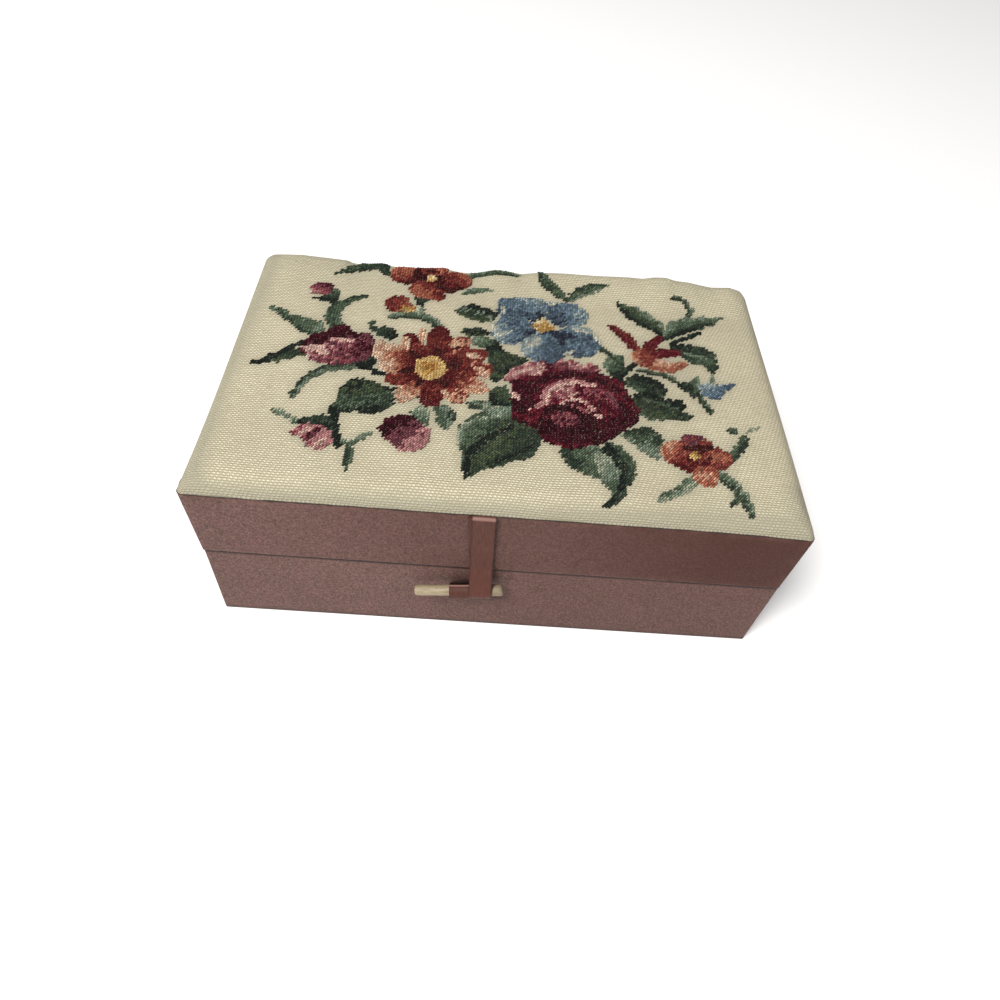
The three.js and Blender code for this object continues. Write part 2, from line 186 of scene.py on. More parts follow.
def make_silk(name, colour, speckle=1.0, sheen=0.03, marks_and_shadows=()):
    """Plain silk over card: a fine mottled grain, slow changes of tone, worn edges, a darker foot, painted
    shade along the seam and to the right, and dark marks with painted shadows.
    """
    net = Surface(name, 0.62, Sheen_Weight=sheen, Sheen_Roughness=0.5, Specular_IOR_Level=0.2)
    place = net.place
    grain = net.noise(place, 1650, 2.0, 0.7)
    fine = net.noise(net.stretch(place, 1.0, 1.0, 0.45), 2600, 1.0)
    slant = net.noise(net.stretch(place, 1.0, 1.0, -1.0), 1000, 1.0)
    tone = net.noise(place, 26, 3.0, 0.55)
    patches = net.noise(place, 120)
    specks = net.noise(place, 330, 1.0)
    cloth = net.over(scaled(colour, 0.93), scaled(colour, 1.07), tone, 0.36, 0.64)
    cloth = net.over(cloth, scaled(colour, 1.08, 0.95, 1.0), patches, 0.46, 0.72, 0.0, 0.7)
    cloth = net.over(cloth, scaled(colour, 0.95, 0.97, 0.86), patches, 0.50, 0.30, 0.0, 0.7)
    cloth = net.shade(cloth, grain, 0.28, 0.74, 1 - 0.50 * speckle, 1 + 0.47 * speckle)
    cloth = net.shade(cloth, fine, 0.3, 0.7, 1 - 0.14 * speckle, 1 + 0.14 * speckle)
    cloth = net.shade(cloth, slant, 0.3, 0.7, 1 - 0.16 * speckle, 1 + 0.16 * speckle)
    cloth = net.over(cloth, scaled(colour, 0.3), specks, 0.765, 0.80, 0.0, 0.5)
    # Dark marks, and painted shadows below and beside the clasp
    for x, z, turn, length, width, depth in marks_and_shadows:
        inputs = {"Vector": place, "Location": (x * MM, MARKS_Y * MM, z * MM)}
        inputs["Rotation"] = (0, math.radians(-turn), 0)
        inputs["Scale"] = (length * MM, MARKS_REACH * MM, width * MM)
        shift = net.add("Mapping", inputs, vector_type="TEXTURE")
        reach = net.add("VectorMath", {0: shift}, "Value", operation="LENGTH")
        cloth = net.over(cloth, scaled(colour, 0.22), reach, 0.35, 1.0, depth, 0.0)
    # Painted shade towards the right of the front face
    cloth = net.mix(net.attribute("shaded"), cloth, scaled(colour, 0.38, 0.12, 0.03))
    # Paler where the silk is worn at its edges
    worn = net.times(net.attribute("wear"), net.remap(patches, 0.35, 0.65))
    cloth = net.mix(net.times(worn, 0.45), cloth, scaled(colour, 1.7))
    # Painted shade along the seam, and a darker foot
    soiled = net.times(net.attribute("soil"), net.remap(tone, 0.2, 0.8, 0.75, 1.0))
    cloth = net.mix(soiled, cloth, scaled(colour, 0.15, 0.08, 0.07))
    relief = net.bump(patches, 0.0004, 0.25, net.bump(grain, 0.00012, 0.5))
    return net.finish(cloth, relief, net.remap(grain, 0.3, 0.7, 0.72, 0.52))


def make_ribbon(name, colour):
    """Satin ribbon: fine ribs along it, a smooth face and darker selvedges."""
    net = Surface(name, 0.5, Specular_IOR_Level=0.12)
    run = net.attribute("weave", "Vector")
    along, across, _ = net.split(run)
    ribs = net.noise(net.stretch(run, 0.25, 7.0, 1.0), 1.0)
    tone = net.noise(net.stretch(run, 0.12, 0.3, 1.0), 1.0)
    edge = net.remap(net.maths("ABSOLUTE", across), 0.86, 0.99)
    cloth = net.mix(tone, scaled(colour, 0.84), scaled(colour, 1.18))
    cloth = net.shade(cloth, ribs, 0.3, 0.7, 0.86, 1.12)
    cloth = net.mix(net.times(edge, 0.6), cloth, scaled(colour, 0.4))
    # A painted highlight where this is above zero, painted shade where it is below
    worn = net.attribute("worn")
    cloth = net.over(cloth, (0.42, 0.25, 0.22), worn, 0.0, 1.0)
    cloth = net.shade(cloth, worn, -1.0, 0.0, 0.16, 1.0)
    wale = net.maths("SINE", net.times(along, 2 * math.pi / 0.45))
    relief = net.bump(wale, 0.00004, 0.35, net.bump(ribs, 0.0001, 0.5))
    return net.finish(cloth, relief, net.remap(ribs, 0.3, 0.7, 0.58, 0.44))


def make_canvas(name):
    """Unbleached canvas in plain weave, with slubby threads and dark gaps between them."""
    net = Surface(name, 0.88, Specular_IOR_Level=0.2)
    weave = net.attribute("weave", "Vector")
    u, v, _ = net.split(weave)
    weft_slub = net.noise(net.stretch(weave, 0.35, 1.4, 1.0), 1.0)
    warp_slub = net.noise(net.stretch(weave, 1.4, 0.35, 1.0), 1.0)
    # The threads lean a little and don't lie quite straight
    u = net.maths("ADD", u, net.times(v, 0.3))
    u = net.maths("ADD", u, net.remap(warp_slub, 0.2, 0.8, -0.3, 0.3))
    v = net.maths("ADD", v, net.remap(weft_slub, 0.2, 0.8, -0.16, 0.16))
    warp = net.maths("SINE", net.times(u, math.pi / WARP_PITCH))
    weft = net.maths("SINE", net.times(v, math.pi / WEFT_PITCH))
    over = net.times(warp, weft)
    weft = net.times(net.maths("ABSOLUTE", weft), net.remap(over, -0.6, 0.55, 0.4, 1.0))
    warp = net.times(net.maths("ABSOLUTE", warp), net.remap(over, -1, 0.4, 0.5, 0.1))
    weft = net.times(weft, net.remap(weft_slub, 0.3, 0.7, 0.74, 1.16))
    warp = net.times(warp, net.remap(warp_slub, 0.3, 0.7, 0.70, 1.14))
    height = net.maths("MAXIMUM", weft, warp)
    age = net.noise(net.place, 22, 3.0, 0.6)
    light = net.over(scaled(CREAM_LIGHT, 0.94), scaled(CREAM_LIGHT, 1.05), age, 0.35, 0.65)
    light = net.over(light, (0.61, 0.51, 0.39), net.noise(net.place, 60), 0.5, 0.75, 0.0, 0.35)
    cloth = net.over(CREAM_DARK, light, height, 0.10, 0.86)
    flecks = net.noise(net.place, 700, 1.0)
    cloth = net.over(cloth, (0.20, 0.16, 0.10), flecks, 0.745, 0.79, 0.0, 0.5)
    # Greyed near the wool, darker at the back, left rim and front roll, with painted shade down the shoulder
    # to the foot
    near_wool = net.attribute("near_wool")
    cloth = net.over(cloth, (0.26, 0.245, 0.18), near_wool, 0.08, 0.75, 0.0, 0.62)
    return net.finish(cloth, net.bump(height, 0.00045, 0.8))


def make_wool(name):
    """Worsted wool: the colour is each stitch's own, with fine twisted fibres over it."""
    net = Surface(name, 0.92, Specular_IOR_Level=0.1)
    ply = net.noise(net.stretch(net.place, 1.0, -1.0, 1.0), 2600)
    fuzz = net.noise(net.place, 5200, 1.0)
    wool = net.shade(net.attribute("wool", "Color"), ply, 0.3, 0.7, 0.74, 1.22)
    return net.finish(wool, net.bump(fuzz, 0.00005, 0.5, net.bump(ply, 0.00012, 0.7)))


def make_bone(name):
    """Old bone: streaks along the grain, small dark pores, a dull polish and a browner butt."""
    net = Surface(name, 0.58)
    streaks = net.noise(net.stretch(net.place, 0.12, 1.0, 1.0), 1500, 3.0, 0.6)
    tone = net.noise(net.place, 160)
    pores = net.noise(net.stretch(net.place, 0.35, 1.0, 1.0), 2400, 1.0)
    bone = net.over(BONE_DARK, BONE_LIGHT, streaks, 0.3, 0.72)
    bone = net.over(bone, scaled(BONE_LIGHT, 1.08), tone, 0.4, 0.7, 0.0, 0.4)
    bone = net.over(bone, scaled(BONE_DARK, 0.45), pores, 0.70, 0.76, 0.0, 0.7)
    along = net.split(net.place)[0]
    bone = net.over(bone, scaled(BONE_DARK, 0.5), along, -0.008, 0.002, 0.0, 0.5)
    return net.finish(bone, net.bump(streaks, 0.00008, 0.5), net.remap(tone, 0.3, 0.7, 0.52, 0.66))


def make_velvet(name, colour):
    """Cut velvet: a dark pile that catches light at its turned sides."""
    net = Surface(name, 0.95, Sheen_Weight=0.9, Sheen_Roughness=0.35)
    pile = net.noise(net.place, 3000, 2.0, 0.6)
    brushed = net.noise(net.stretch(net.place, 1.0, 0.4, 1.0), 90, 3.0)
    cloth = net.over(scaled(colour, 0.7), scaled(colour, 1.3), brushed, 0.35, 0.65)
    return net.finish(net.shade(cloth, pile, 0.3, 0.7, 0.7, 1.25), net.bump(pile, 0.0002, 0.7))


def make_board(name, colour, grain_scale):
    """Grey card or paper: short fibres and a matt face."""
    net = Surface(name, 0.85)
    fibres = net.noise(net.stretch(net.place, 1.0, 0.3, 1.0), grain_scale, 3.0, 0.6)
    tone = net.noise(net.place, 40)
    paper = net.over(scaled(colour, 0.82), scaled(colour, 1.12), fibres, 0.3, 0.7)
    paper = net.over(paper, scaled(colour, 0.85), tone, 0.4, 0.7, 0.0, 0.4)
    return net.finish(paper, net.bump(fibres, 0.00008, 0.6))


def make_mirror(name):
    """Silvered glass with faint spots of age in the silver."""
    net = Surface(name, 0.03, Metallic=1.0)
    age = net.noise(net.place, 140, 4.0, 0.65)
    silver = net.over((0.86, 0.89, 0.87), (0.35, 0.31, 0.25), age, 0.66, 0.78, 0.0, 0.6)
    return net.finish(silver, roughness=net.remap(age, 0.6, 0.8, 0.03, 0.25))


def make_mottled(name, roughness, scale, dark, light):
    """A plain surface: the painted shade inside a slit, or the floor."""
    net = Surface(name, roughness)
    return net.finish(net.mix(net.noise(net.place, scale), dark, light))


# Meshes


def new_object(name, points, faces, material, smooth=True):
    """A mesh object from points in millimetres."""
    mesh = bpy.data.meshes.new(name)
    faces = [list(map(int, face)) for face in faces]
    mesh.from_pydata((np.asarray(points, float) * MM).tolist(), [], faces)
    mesh.update()
    if smooth:
        mesh.shade_smooth()
    obj = bpy.data.objects.new(name, mesh)
    bpy.context.collection.objects.link(obj)
    mesh.materials.append(material)
    return obj


def set_points(obj, **values):
    """Gives every point of a mesh a number, a vector or a colour."""
    for name, value in values.items():
        value = np.asarray(value, np.float32).reshape(len(obj.data.vertices), -1)
        kinds = {1: ("FLOAT", "value"), 3: ("FLOAT_VECTOR", "vector"), 4: ("FLOAT_COLOR", "color")}
        kind, label = kinds[value.shape[1]]
        obj.data.attributes.new(name, kind, "POINT").data.foreach_set(label, value.ravel())


def grid_faces(rows, columns, close_rows=False, close_columns=False):
    """The quads between rows of points, each row with the same number of points."""
    row = np.arange(rows if close_rows else rows - 1)
    column = np.arange(columns if close_columns else columns - 1)
    r, c = (axis.ravel() for axis in np.meshgrid(row, column, indexing="ij"))
    r_next, c_next = (r + 1) % rows, (c + 1) % columns
    quad = (r * columns + c, r * columns + c_next, r_next * columns + c_next, r_next * columns + c)
    return np.stack(quad, 1)


def slab(name, grids, material):
    """A thin piece between two grids of points, joined around their rim."""
    rows, columns, _ = grids[0].shape
    count = rows * columns
    at = np.arange(count).reshape(rows, columns)
    rim = [*at[0], *at[1:, -1], *at[-1, -2::-1], *at[-2:0:-1, 0]]
    grid = grid_faces(rows, columns)
    faces = [*grid, *(grid[:, ::-1] + count)]
    faces += [(b, a, a + count, b + count) for a, b in zip(rim, rim[1:] + rim[:1])]
    return new_object(name, np.reshape(grids, (-1, 3)), faces, material)


def loft(name, rows, material, caps=0, close_rows=False, faces=()):
    """A mesh through closed rows of points. With caps of 1 or -1 its ends are closed."""
    points = np.concatenate(rows)
    count, first_of_last = len(rows[0]), len(points) - len(rows[0])
    faces = list(grid_faces(len(rows), count, close_rows, True)) + list(faces)
    if caps:
        faces += [range(count)[::caps], range(first_of_last, len(points))[::-caps]]
    return new_object(name, points, faces, material)


def ring(half_x, low_y, high_y, radius, counts):
    """Points and outward directions around a rounded rectangle, the same number for any size."""
    *side_counts, turn_count = counts
    right, bottom, top = half_x - radius, low_y + radius, high_y - radius
    corners = (
        # its middle and first angle, and where the side before it starts
        (right, bottom, -90, (-right, low_y)),
        (right, top, 0, (half_x, bottom)),
        (-right, top, 90, (right, high_y)),
        (-right, bottom, 180, (-half_x, top)),
    )
    points, outward = [], []
    for side, (x, y, first, start) in enumerate(corners):
        steps = math.pi / 2 * np.arange(turn_count) / turn_count
        ways = [(math.cos(turn), math.sin(turn)) for turn in math.radians(first) + steps]
        corner = (x, y) + radius * np.array(ways)
        # Points lie closer together towards a side's ends
        t = np.arange(side_counts[side % 2])[:, None] / side_counts[side % 2]
        share = 0.35 * t + 0.65 * (0.5 - 0.5 * np.cos(np.pi * t))
        points += [start + (corner[0] - start) * share, corner]
        outward += [ways[0]] * len(t) + ways
    return np.concatenate(points), np.array(outward)


def smooth_noise(points, size, seed):
    """A slow random value from about -1 to 1 at each point, with bumps about size across."""
    shift = Vector((seed * 17.3, seed * -9.1, seed * 5.7))
    return np.array([noise.noise(Vector(p) / size + shift) for p in points])


def ripple(x, y, length, seed):
    """A slow random value at each x and y, made of a few waves about length long."""
    rng = np.random.default_rng(seed)
    total = np.zeros_like(np.asarray(x, float))
    for _ in range(6):
        way, phase = rng.uniform(0, 2 * math.pi, 2)
        wave = length * rng.uniform(0.7, 1.6)
        across = x * math.cos(way) + y * math.sin(way)
        total += np.sin(across * 2 * math.pi / wave + phase)
    return total / 3


def weld(points, faces):
    """Joins points at the same place, and drops the faces' repeated corners."""
    _, first, index = np.unique(np.round(points, 4), axis=0, return_index=True, return_inverse=True)
    kept = [list(dict.fromkeys(index.ravel()[list(face)])) for face in faces]
    return points[first], [face for face in kept if len(face) > 2]


def rounded_box(name, low, high, radius, step, material):
    """A box with soft edges and enough points on its faces to be bent."""
    low, high = np.array(low, float), np.array(high, float)
    lines = []
    for start, end in zip(low, high):
        flat = max(1, int(round((end - start - 2 * radius) / step)))
        turn = radius * (1 - np.cos(np.radians((0, 22, 45, 68))))
        inner = np.linspace(start + radius, end - radius, flat + 1)
        lines.append(np.concatenate([start + turn, inner, end - turn[::-1]]))
    points, faces = [], []
    for axis in range(3):
        order = [axis, (axis + 1) % 3, (axis + 2) % 3]
        for end in (0, -1):
            place = np.meshgrid(lines[axis][end], *(lines[way] for way in order[1:]), indexing="ij")
            grid = grid_faces(*place[0].shape[1:])[:, [0, 3, 2, 1]] + sum(map(len, points))
            faces += list(grid if end else grid[:, ::-1])
            points.append(np.stack([place[order.index(way)].ravel() for way in range(3)], 1))
    # Points on the faces of the plain box move onto the rounded one
    points = np.concatenate(points)
    core = np.clip(points, low + radius, high - radius)
    way = points - core
    length = np.linalg.norm(way, axis=1, keepdims=True)
    points = np.where(length > 1e-9, core + way / np.maximum(length, 1e-9) * radius, points)
    return new_object(name, *weld(points, faces), material)


def read_points(obj):
    values = np.empty(len(obj.data.vertices) * 3)
    obj.data.vertices.foreach_get("co", values)
    return values.reshape(-1, 3) / MM


def write_points(obj, points):
    obj.data.vertices.foreach_set("co", (np.asarray(points) * MM).ravel())
    obj.data.update()


# How far the covers stand out at the two front corners: heights, and reach on the left and right.
# It fades backwards from the front face, and starts some way out from the middle
CORNER_Y, CORNER_FADE = -62.7, 26
CORNER_START, CORNER_WAY = 62, 39
CORNER_HEIGHTS = (0, 38.4, 38.6, 69.5, 71.5, 77.0)
CORNER_REACH = ((0.6, 0.9, 0.3, 1.9, 0.8, 0), (1.5, 1.6, 0.7, 1.6, 0.3, 0))


def draw_out_corners(points, weight=1.0):
    """The covers stand out at the front corners, and the canvas comes lower at the right one."""
    x, y, z = points.T
    out = np.clip((np.abs(x) - CORNER_START) / CORNER_WAY, 0, 1)
    near = np.exp(-(((y - CORNER_Y) / CORNER_FADE) ** 2)) * out**2 * weight
    left, right = (np.interp(z, CORNER_HEIGHTS, reach) for reach in CORNER_REACH)
    drop = np.interp(z, (60, 69.5, 77), (0, 1.4, 0)) * (x > 0)
    return points + np.stack([np.where(x < 0, -left, right) * near, 0 * x, -drop * near], 1)


# The lid's crown: canvas drawn over a wadded board

CROWN_HALF_X, CROWN_HALF_Y = 101.5, 62.7
CROWN_FOOT, CROWN_SIDE, CROWN_EDGE, CROWN_TOP = 69.5, 70.6, 76.2, 77.5
SHOULDER_INSET, DOME_INSET, CROWN_OVERHANG = 9.0, 44.0, 0.3
CORNER_RADIUS, CORNER_GROWTH = 1.7, 0.75
WARP_PITCH, WEFT_PITCH = 0.70, 0.92
STITCH_X, STITCH_Y = 1.0, 1.08
FIRST_COLUMN, LAST_COLUMN, FIRST_ROW, LAST_ROW = -92, 92, -56, 62
# How far the wadding lifts the canvas along the lid's back edge: x and height
BACK_SWELL = (
    (-101, 0), (-98, 1.2), (-86, 2.2), (-67.5, 1.5), (-65.5, 0.1), (-59, 0.2), (-53, 1.1),
    (-49, 0.2), (-36, 0.5), (-28, 1.6), (-21, 0.3), (-14, 0.5), (-7, 2.7), (-1, 2.9), (4, 2.2),
    (11, 3.6), (22, 4.5), (35, 4.7), (49, 5.3), (55, 5.2), (59, 6.4), (64, 6.7), (67.5, 5.7),
    (74, 5.5), (84, 3.9), (91.5, 4.6), (96.5, 3.4), (101, 0),
)


def crown_height(inset):
    """The height of the canvas at an inset from the lid's outline."""
    across = np.clip(1 - (inset + CROWN_OVERHANG) / (SHOULDER_INSET + CROWN_OVERHANG), 0, 1)
    shoulder = CROWN_SIDE + (CROWN_EDGE - CROWN_SIDE) * np.sqrt(1 - across**2)
    share = np.clip((inset - SHOULDER_INSET) / (DOME_INSET - SHOULDER_INSET), 0, 1)
    dome = CROWN_EDGE + (CROWN_TOP - CROWN_EDGE) * share * (2 - share)
    return np.where(inset < SHOULDER_INSET, shoulder, dome)


def corner_radius(inset):
    return CORNER_RADIUS + CORNER_GROWTH * np.maximum(inset, 0)


def inset_of(x, y):
    """How far inside the lid's outline a point is, where corners grow rounder inwards."""
    low, high = np.full(np.shape(x), -CROWN_OVERHANG), np.full(np.shape(x), CROWN_HALF_Y)
    for _ in range(28):
        inset = (low + high) / 2
        half_x, half_y = CROWN_HALF_X - inset, CROWN_HALF_Y - inset
        radius = np.minimum(corner_radius(inset), half_y)
        far_x = np.maximum(np.abs(x) - (half_x - radius), 0)
        far_y = np.maximum(np.abs(y) - (half_y - radius), 0)
        inside = np.hypot(far_x, far_y) <= radius
        low, high = np.where(inside, inset, low), np.where(inside, high, inset)
    return low


def crown_ring(inset, counts):
    """A ring of points at an inset from the lid's outline."""
    half_y = CROWN_HALF_Y - inset
    radius = min(corner_radius(inset), half_y - 0.05)
    return ring(CROWN_HALF_X - inset, -half_y, half_y, radius, counts)


def back_swell(x, y):
    """The wadding's uneven swell along the lid's back edge."""
    off = CROWN_HALF_Y - y
    rise = np.sqrt(1 - np.clip(1 - (off + CROWN_OVERHANG) / 5, 0, 1) ** 2)
    fall = 0.5 + 0.5 * np.cos(math.pi * np.clip((off - 4) / 20, 0, 1))
    return np.interp(x, *np.transpose(BACK_SWELL)) * rise * fall


def crown_surface(x, y, inset):
    """The canvas's height with the wadding's slow lumps, none at the glued edge, and its swell."""
    lumps = 0.22 * ripple(x, y, 38, 3) + 0.10 * ripple(x, y, 15, 4)
    return crown_height(inset) + (lumps * np.clip(inset / 12, 0, 1) + back_swell(x, y))


def arc_table(half):
    """Places from the middle to the edge, and the cloth's length up to each."""
    flat = np.linspace(half, SHOULDER_INSET, 60)[:-1]
    bend = 1 - np.cos(np.linspace(math.pi / 2, 0, 60))
    inset = np.concatenate([flat, (SHOULDER_INSET + CROWN_OVERHANG) * bend - CROWN_OVERHANG])
    place, height = half - inset, crown_height(inset)
    length = np.concatenate([[0], np.cumsum(np.hypot(np.diff(place), np.diff(height)))])
    return place, length


X_TABLE, Y_TABLE = arc_table(CROWN_HALF_X), arc_table(CROWN_HALF_Y)


def along_cloth(place, table):
    """The cloth's length from the middle to a place, with the place's sign."""
    return np.sign(place) * np.interp(np.abs(place), *table)


def along_plan(length, table):
    return np.sign(length) * np.interp(np.abs(length), table[1], table[0])


def crown_point(u, v):
    """The point of the crown at a place on the cloth."""
    x, y = along_plan(u, X_TABLE), along_plan(v, Y_TABLE)
    return np.stack([x, y, crown_surface(x, y, inset_of(x, y))], -1)


def middle_faces(first, counts):
    """Closes the last ring with faces from each of its points to the one across from it."""
    long_count, short_count, turn_count = counts
    count = 2 * (long_count + short_count + 2 * turn_count)
    mirror = 2 * long_count + short_count + 2 * turn_count
    faces = []
    for k in range((mirror - count) // 2, mirror // 2):
        corners = [k % count, (k + 1) % count, (mirror - k - 1) % count, (mirror - k) % count]
        faces.append(tuple(first + corner for corner in dict.fromkeys(corners)))
    return faces


def near_wool(u, v, bouquet):
    """How much of the canvas around each place is worked, from 0 to 1."""
    share = (bouquet.wool >= 0).reshape(bouquet.shape).astype(float)
    for axis in (0, 1, 0, 1):
        share = sum(np.roll(share, step, axis) for step in range(-2, 3)) / 5
    row = np.round(v / STITCH_Y - (FIRST_ROW + 0.5)).astype(int)
    column = np.round(u / STITCH_X - (FIRST_COLUMN + 0.5)).astype(int)
    last_row, last_column = np.array(bouquet.shape) - 1
    return share[np.clip(row, 0, last_row), np.clip(column, 0, last_column)]


def make_embroidered_cloth(material, bouquet):
    """The canvas, in rows from its turned in edge up to the middle of the crown."""
    counts = (110, 70, 8)
    sections = [(0.9, -0.08), (0.3, -0.06), (-0.12, 0.12), (-0.27, 0.5)]
    bend = (SHOULDER_INSET + CROWN_OVERHANG) * (1 - np.cos(np.radians(np.linspace(0, 90, 15))))
    sections += [(inset, None) for inset in bend - CROWN_OVERHANG]
    sections += [(inset, None) for inset in np.linspace(SHOULDER_INSET + 1.3, 61.0, 40)]
    rows, weave, insets = [], [], []
    for inset, foot in sections + [(62.2, None)]:
        place, outward = crown_ring(inset, counts)
        x, y = place.T
        at = np.full(len(x), float(inset))
        if foot is None:
            z, extra = crown_surface(x, y, at), 0.0
        else:
            z = CROWN_FOOT + foot + 0.14 * ripple(x, y, 14, 8) + 0.07 * ripple(x, y, 5, 9)
            extra = CROWN_SIDE - (CROWN_FOOT + foot)
        rows.append(draw_out_corners(np.column_stack([x, y, z])))
        u, v = along_cloth(x, X_TABLE), along_cloth(y, Y_TABLE)
        u, v = u + outward[:, 0] * extra, v + outward[:, 1] * extra
        wander = 0.35 * ripple(x, y, 30, 5), 0.35 * ripple(x, y, 30, 6)
        weave.append(np.column_stack([u + wander[0], v + wander[1], np.zeros(len(u))]))
        insets.append(at)
    middle = middle_faces((len(rows) - 1) * len(rows[0]), counts)
    cloth = loft("canvas_cover", rows, material, faces=middle)
    x, y, z = np.concatenate(rows).T
    weave, inset = np.concatenate(weave), np.concatenate(insets)
    # The canvas is greyed near the wool, darker towards the back, on the left and on the front roll to the
    # right, with painted shade down its shoulder towards the foot
    foot = 0.95 * np.clip((75.4 - z) / 3.6, 0, 1) ** 0.7
    foot += 0.34 * np.clip((y - 10) / 45, 0, 1)
    foot += 0.9 * np.clip((-x - 92) / 8, 0, 1)
    roll = np.clip((x - 10) / 60, 0, 1) * np.clip((12 - inset) / 8, 0, 1) * (y < -45)
    greyed = np.maximum(near_wool(weave[:, 0], weave[:, 1], bouquet), foot + 0.42 * roll)
    set_points(cloth, weave=weave, near_wool=greyed)
    return cloth


# The bouquet: which wool goes into which cell of the canvas


class Bouquet:
    """Cells of the canvas and their wools. A later motif is worked over the earlier ones."""

    def __init__(self):
        columns = np.arange(FIRST_COLUMN, LAST_COLUMN + 1)
        rows = np.arange(FIRST_ROW, LAST_ROW + 1)
        u, v = np.meshgrid((columns + 0.5) * STITCH_X, (rows + 0.5) * STITCH_Y)
        self.shape = u.shape
        diagonal, along = np.meshgrid(columns, -rows)
        diagonal, along = (diagonal + along).ravel(), (diagonal - along).ravel()
        self.u, self.v = u.ravel(), v.ravel()
        self.wool = np.full(self.u.shape, -1)
        rng = np.random.default_rng(11)
        self.own = rng.uniform(-1, 1, self.u.shape)
        spread = rng.uniform(-1, 1, u.shape)
        for _ in range(2):
            around = [np.roll(spread, step, axis) for axis in (0, 1) for step in (1, -1)]
            spread = sum(around, spread) / 3.2
        self.clump = np.clip(spread.ravel() * 1.6, -1, 1)
        # Threads run on along the diagonals, each a little lighter or darker than the next
        tones = rng.normal(1.0, 0.08, (400, 40))
        self.tone = np.clip(tones[diagonal + 200, (along + 200) // 11], 0.8, 1.2)
        x, y = along_plan(self.u, X_TABLE), along_plan(self.v, Y_TABLE)
        # The motifs are drawn in a plan that is a little turned and bent from the canvas's own
        self.x = 0.27 + 0.9915 * x - 0.0052 * y + 0.00007 * x * y + 0.35 * self.own
        self.y = -0.53 - 0.0016 * x + 0.988 * y + 0.00007 * y * y + 0.35 * np.roll(self.own, 7)
        # Where the back swells up, they are worked nearer to the front
        swell = back_swell(x, y)
        self.x += swell * (x + 15) / 184
        self.y += swell * (y + 212) / 184

    def work(self, inside, value, ramp, mottle):
        """Fills the cells inside. A value from 0 to 1 picks the wool along the ramp of letters."""
        value = value + mottle * (0.5 * self.clump + 0.65 * self.own)
        at = np.clip((value * len(ramp)).astype(int), 0, len(ramp) - 1)
        picked = np.array([WOOL_LETTERS.index(letter) for letter in ramp])[at]
        self.wool = np.where(inside, picked, self.wool)

    def patch(self, ramp, light, *points, mottle=0.22):
        """A shape with straight sides, darker away from the light."""
        outline = np.array(points, float).reshape(-1, 2)
        inside = np.zeros(self.x.shape, bool)
        for (x0, y0), (x1, y1) in zip(outline, np.roll(outline, -1, 0)):
            if y0 != y1:
                crosses = (self.y < y0) != (self.y < y1)
                inside ^= crosses & (self.x < x0 + (self.y - y0) / (y1 - y0) * (x1 - x0))
        way = np.array(light, float) / math.hypot(*light)
        reach = outline @ way
        across = self.x * way[0] + self.y * way[1]
        self.work(inside, (across - reach.min()) / max(np.ptp(reach), 1e-6), ramp, mottle)

    def oval(self, ramp, x, y, width, height, tilt=0, light=(0.3, 1), rim=False, mottle=0.22):
        """An oval of half a width and height. With rim the ramp runs from its middle to its rim."""
        turn = math.radians(tilt)
        dx, dy = self.x - x, self.y - y
        a = (dx * math.cos(turn) + dy * math.sin(turn)) / width
        b = (-dx * math.sin(turn) + dy * math.cos(turn)) / height
        distance = np.hypot(a, b)
        way = np.array(light, float) / math.hypot(*light)
        shade = 0.5 + 0.5 * (dx * way[0] + dy * way[1]) / max(width, height)
        self.work(distance < 1, distance if rim else shade, ramp, mottle)

    def near(self, points):
        """Each cell's distance from a path, its share of the way along, and which side it is on."""
        path = np.array(points, float).reshape(-1, 2)
        lengths = np.hypot(*np.diff(path, axis=0).T)
        ends = np.concatenate([[0], np.cumsum(lengths)])
        best = np.full(self.x.shape, 1e9)
        share, side = np.zeros(self.x.shape), np.zeros(self.x.shape)
        for at, (x0, y0) in enumerate(path[:-1]):
            way = (path[at + 1] - path[at]) / lengths[at]
            dx, dy = self.x - x0, self.y - y0
            along = np.clip(dx * way[0] + dy * way[1], 0, lengths[at])
            off = np.hypot(dx - along * way[0], dy - along * way[1])
            closer = off < best
            best = np.where(closer, off, best)
            share = np.where(closer, (ends[at] + along) / ends[-1], share)
            side = np.where(closer, np.sign(way[0] * dy - way[1] * dx), side)
        return best, share, side

    def stroke(self, ramp, width, *points, taper=0.35, mottle=0.3):
        """A stem or fold of even width that thins towards its ends."""
        off, share, side = self.near(points)
        half = width / 2 * (1 - taper * np.abs(2 * share - 1) ** 2)
        self.work(off < half, 0.5 + 0.4 * side * off / half, ramp, mottle)

    def leaf(self, ramp, width, *points, lit=1, full=0.45):
        """A pointed leaf along a path, lighter on one side, with small teeth."""
        off, share, side = self.near(points)
        swell = np.where(share < full, share / full, (1 - share) / (1 - full))
        half = width / 2 * np.sin(np.pi / 2 * np.clip(swell, 0, 1)) ** 0.75
        teeth = 0.5 * np.sin(share * 26 + side)
        inside = off < np.maximum(half + teeth * (half > 1.2), 0.55)
        self.work(inside, 0.5 + 0.45 * lit * side * off / np.maximum(half, 0.5), ramp, 0.22)

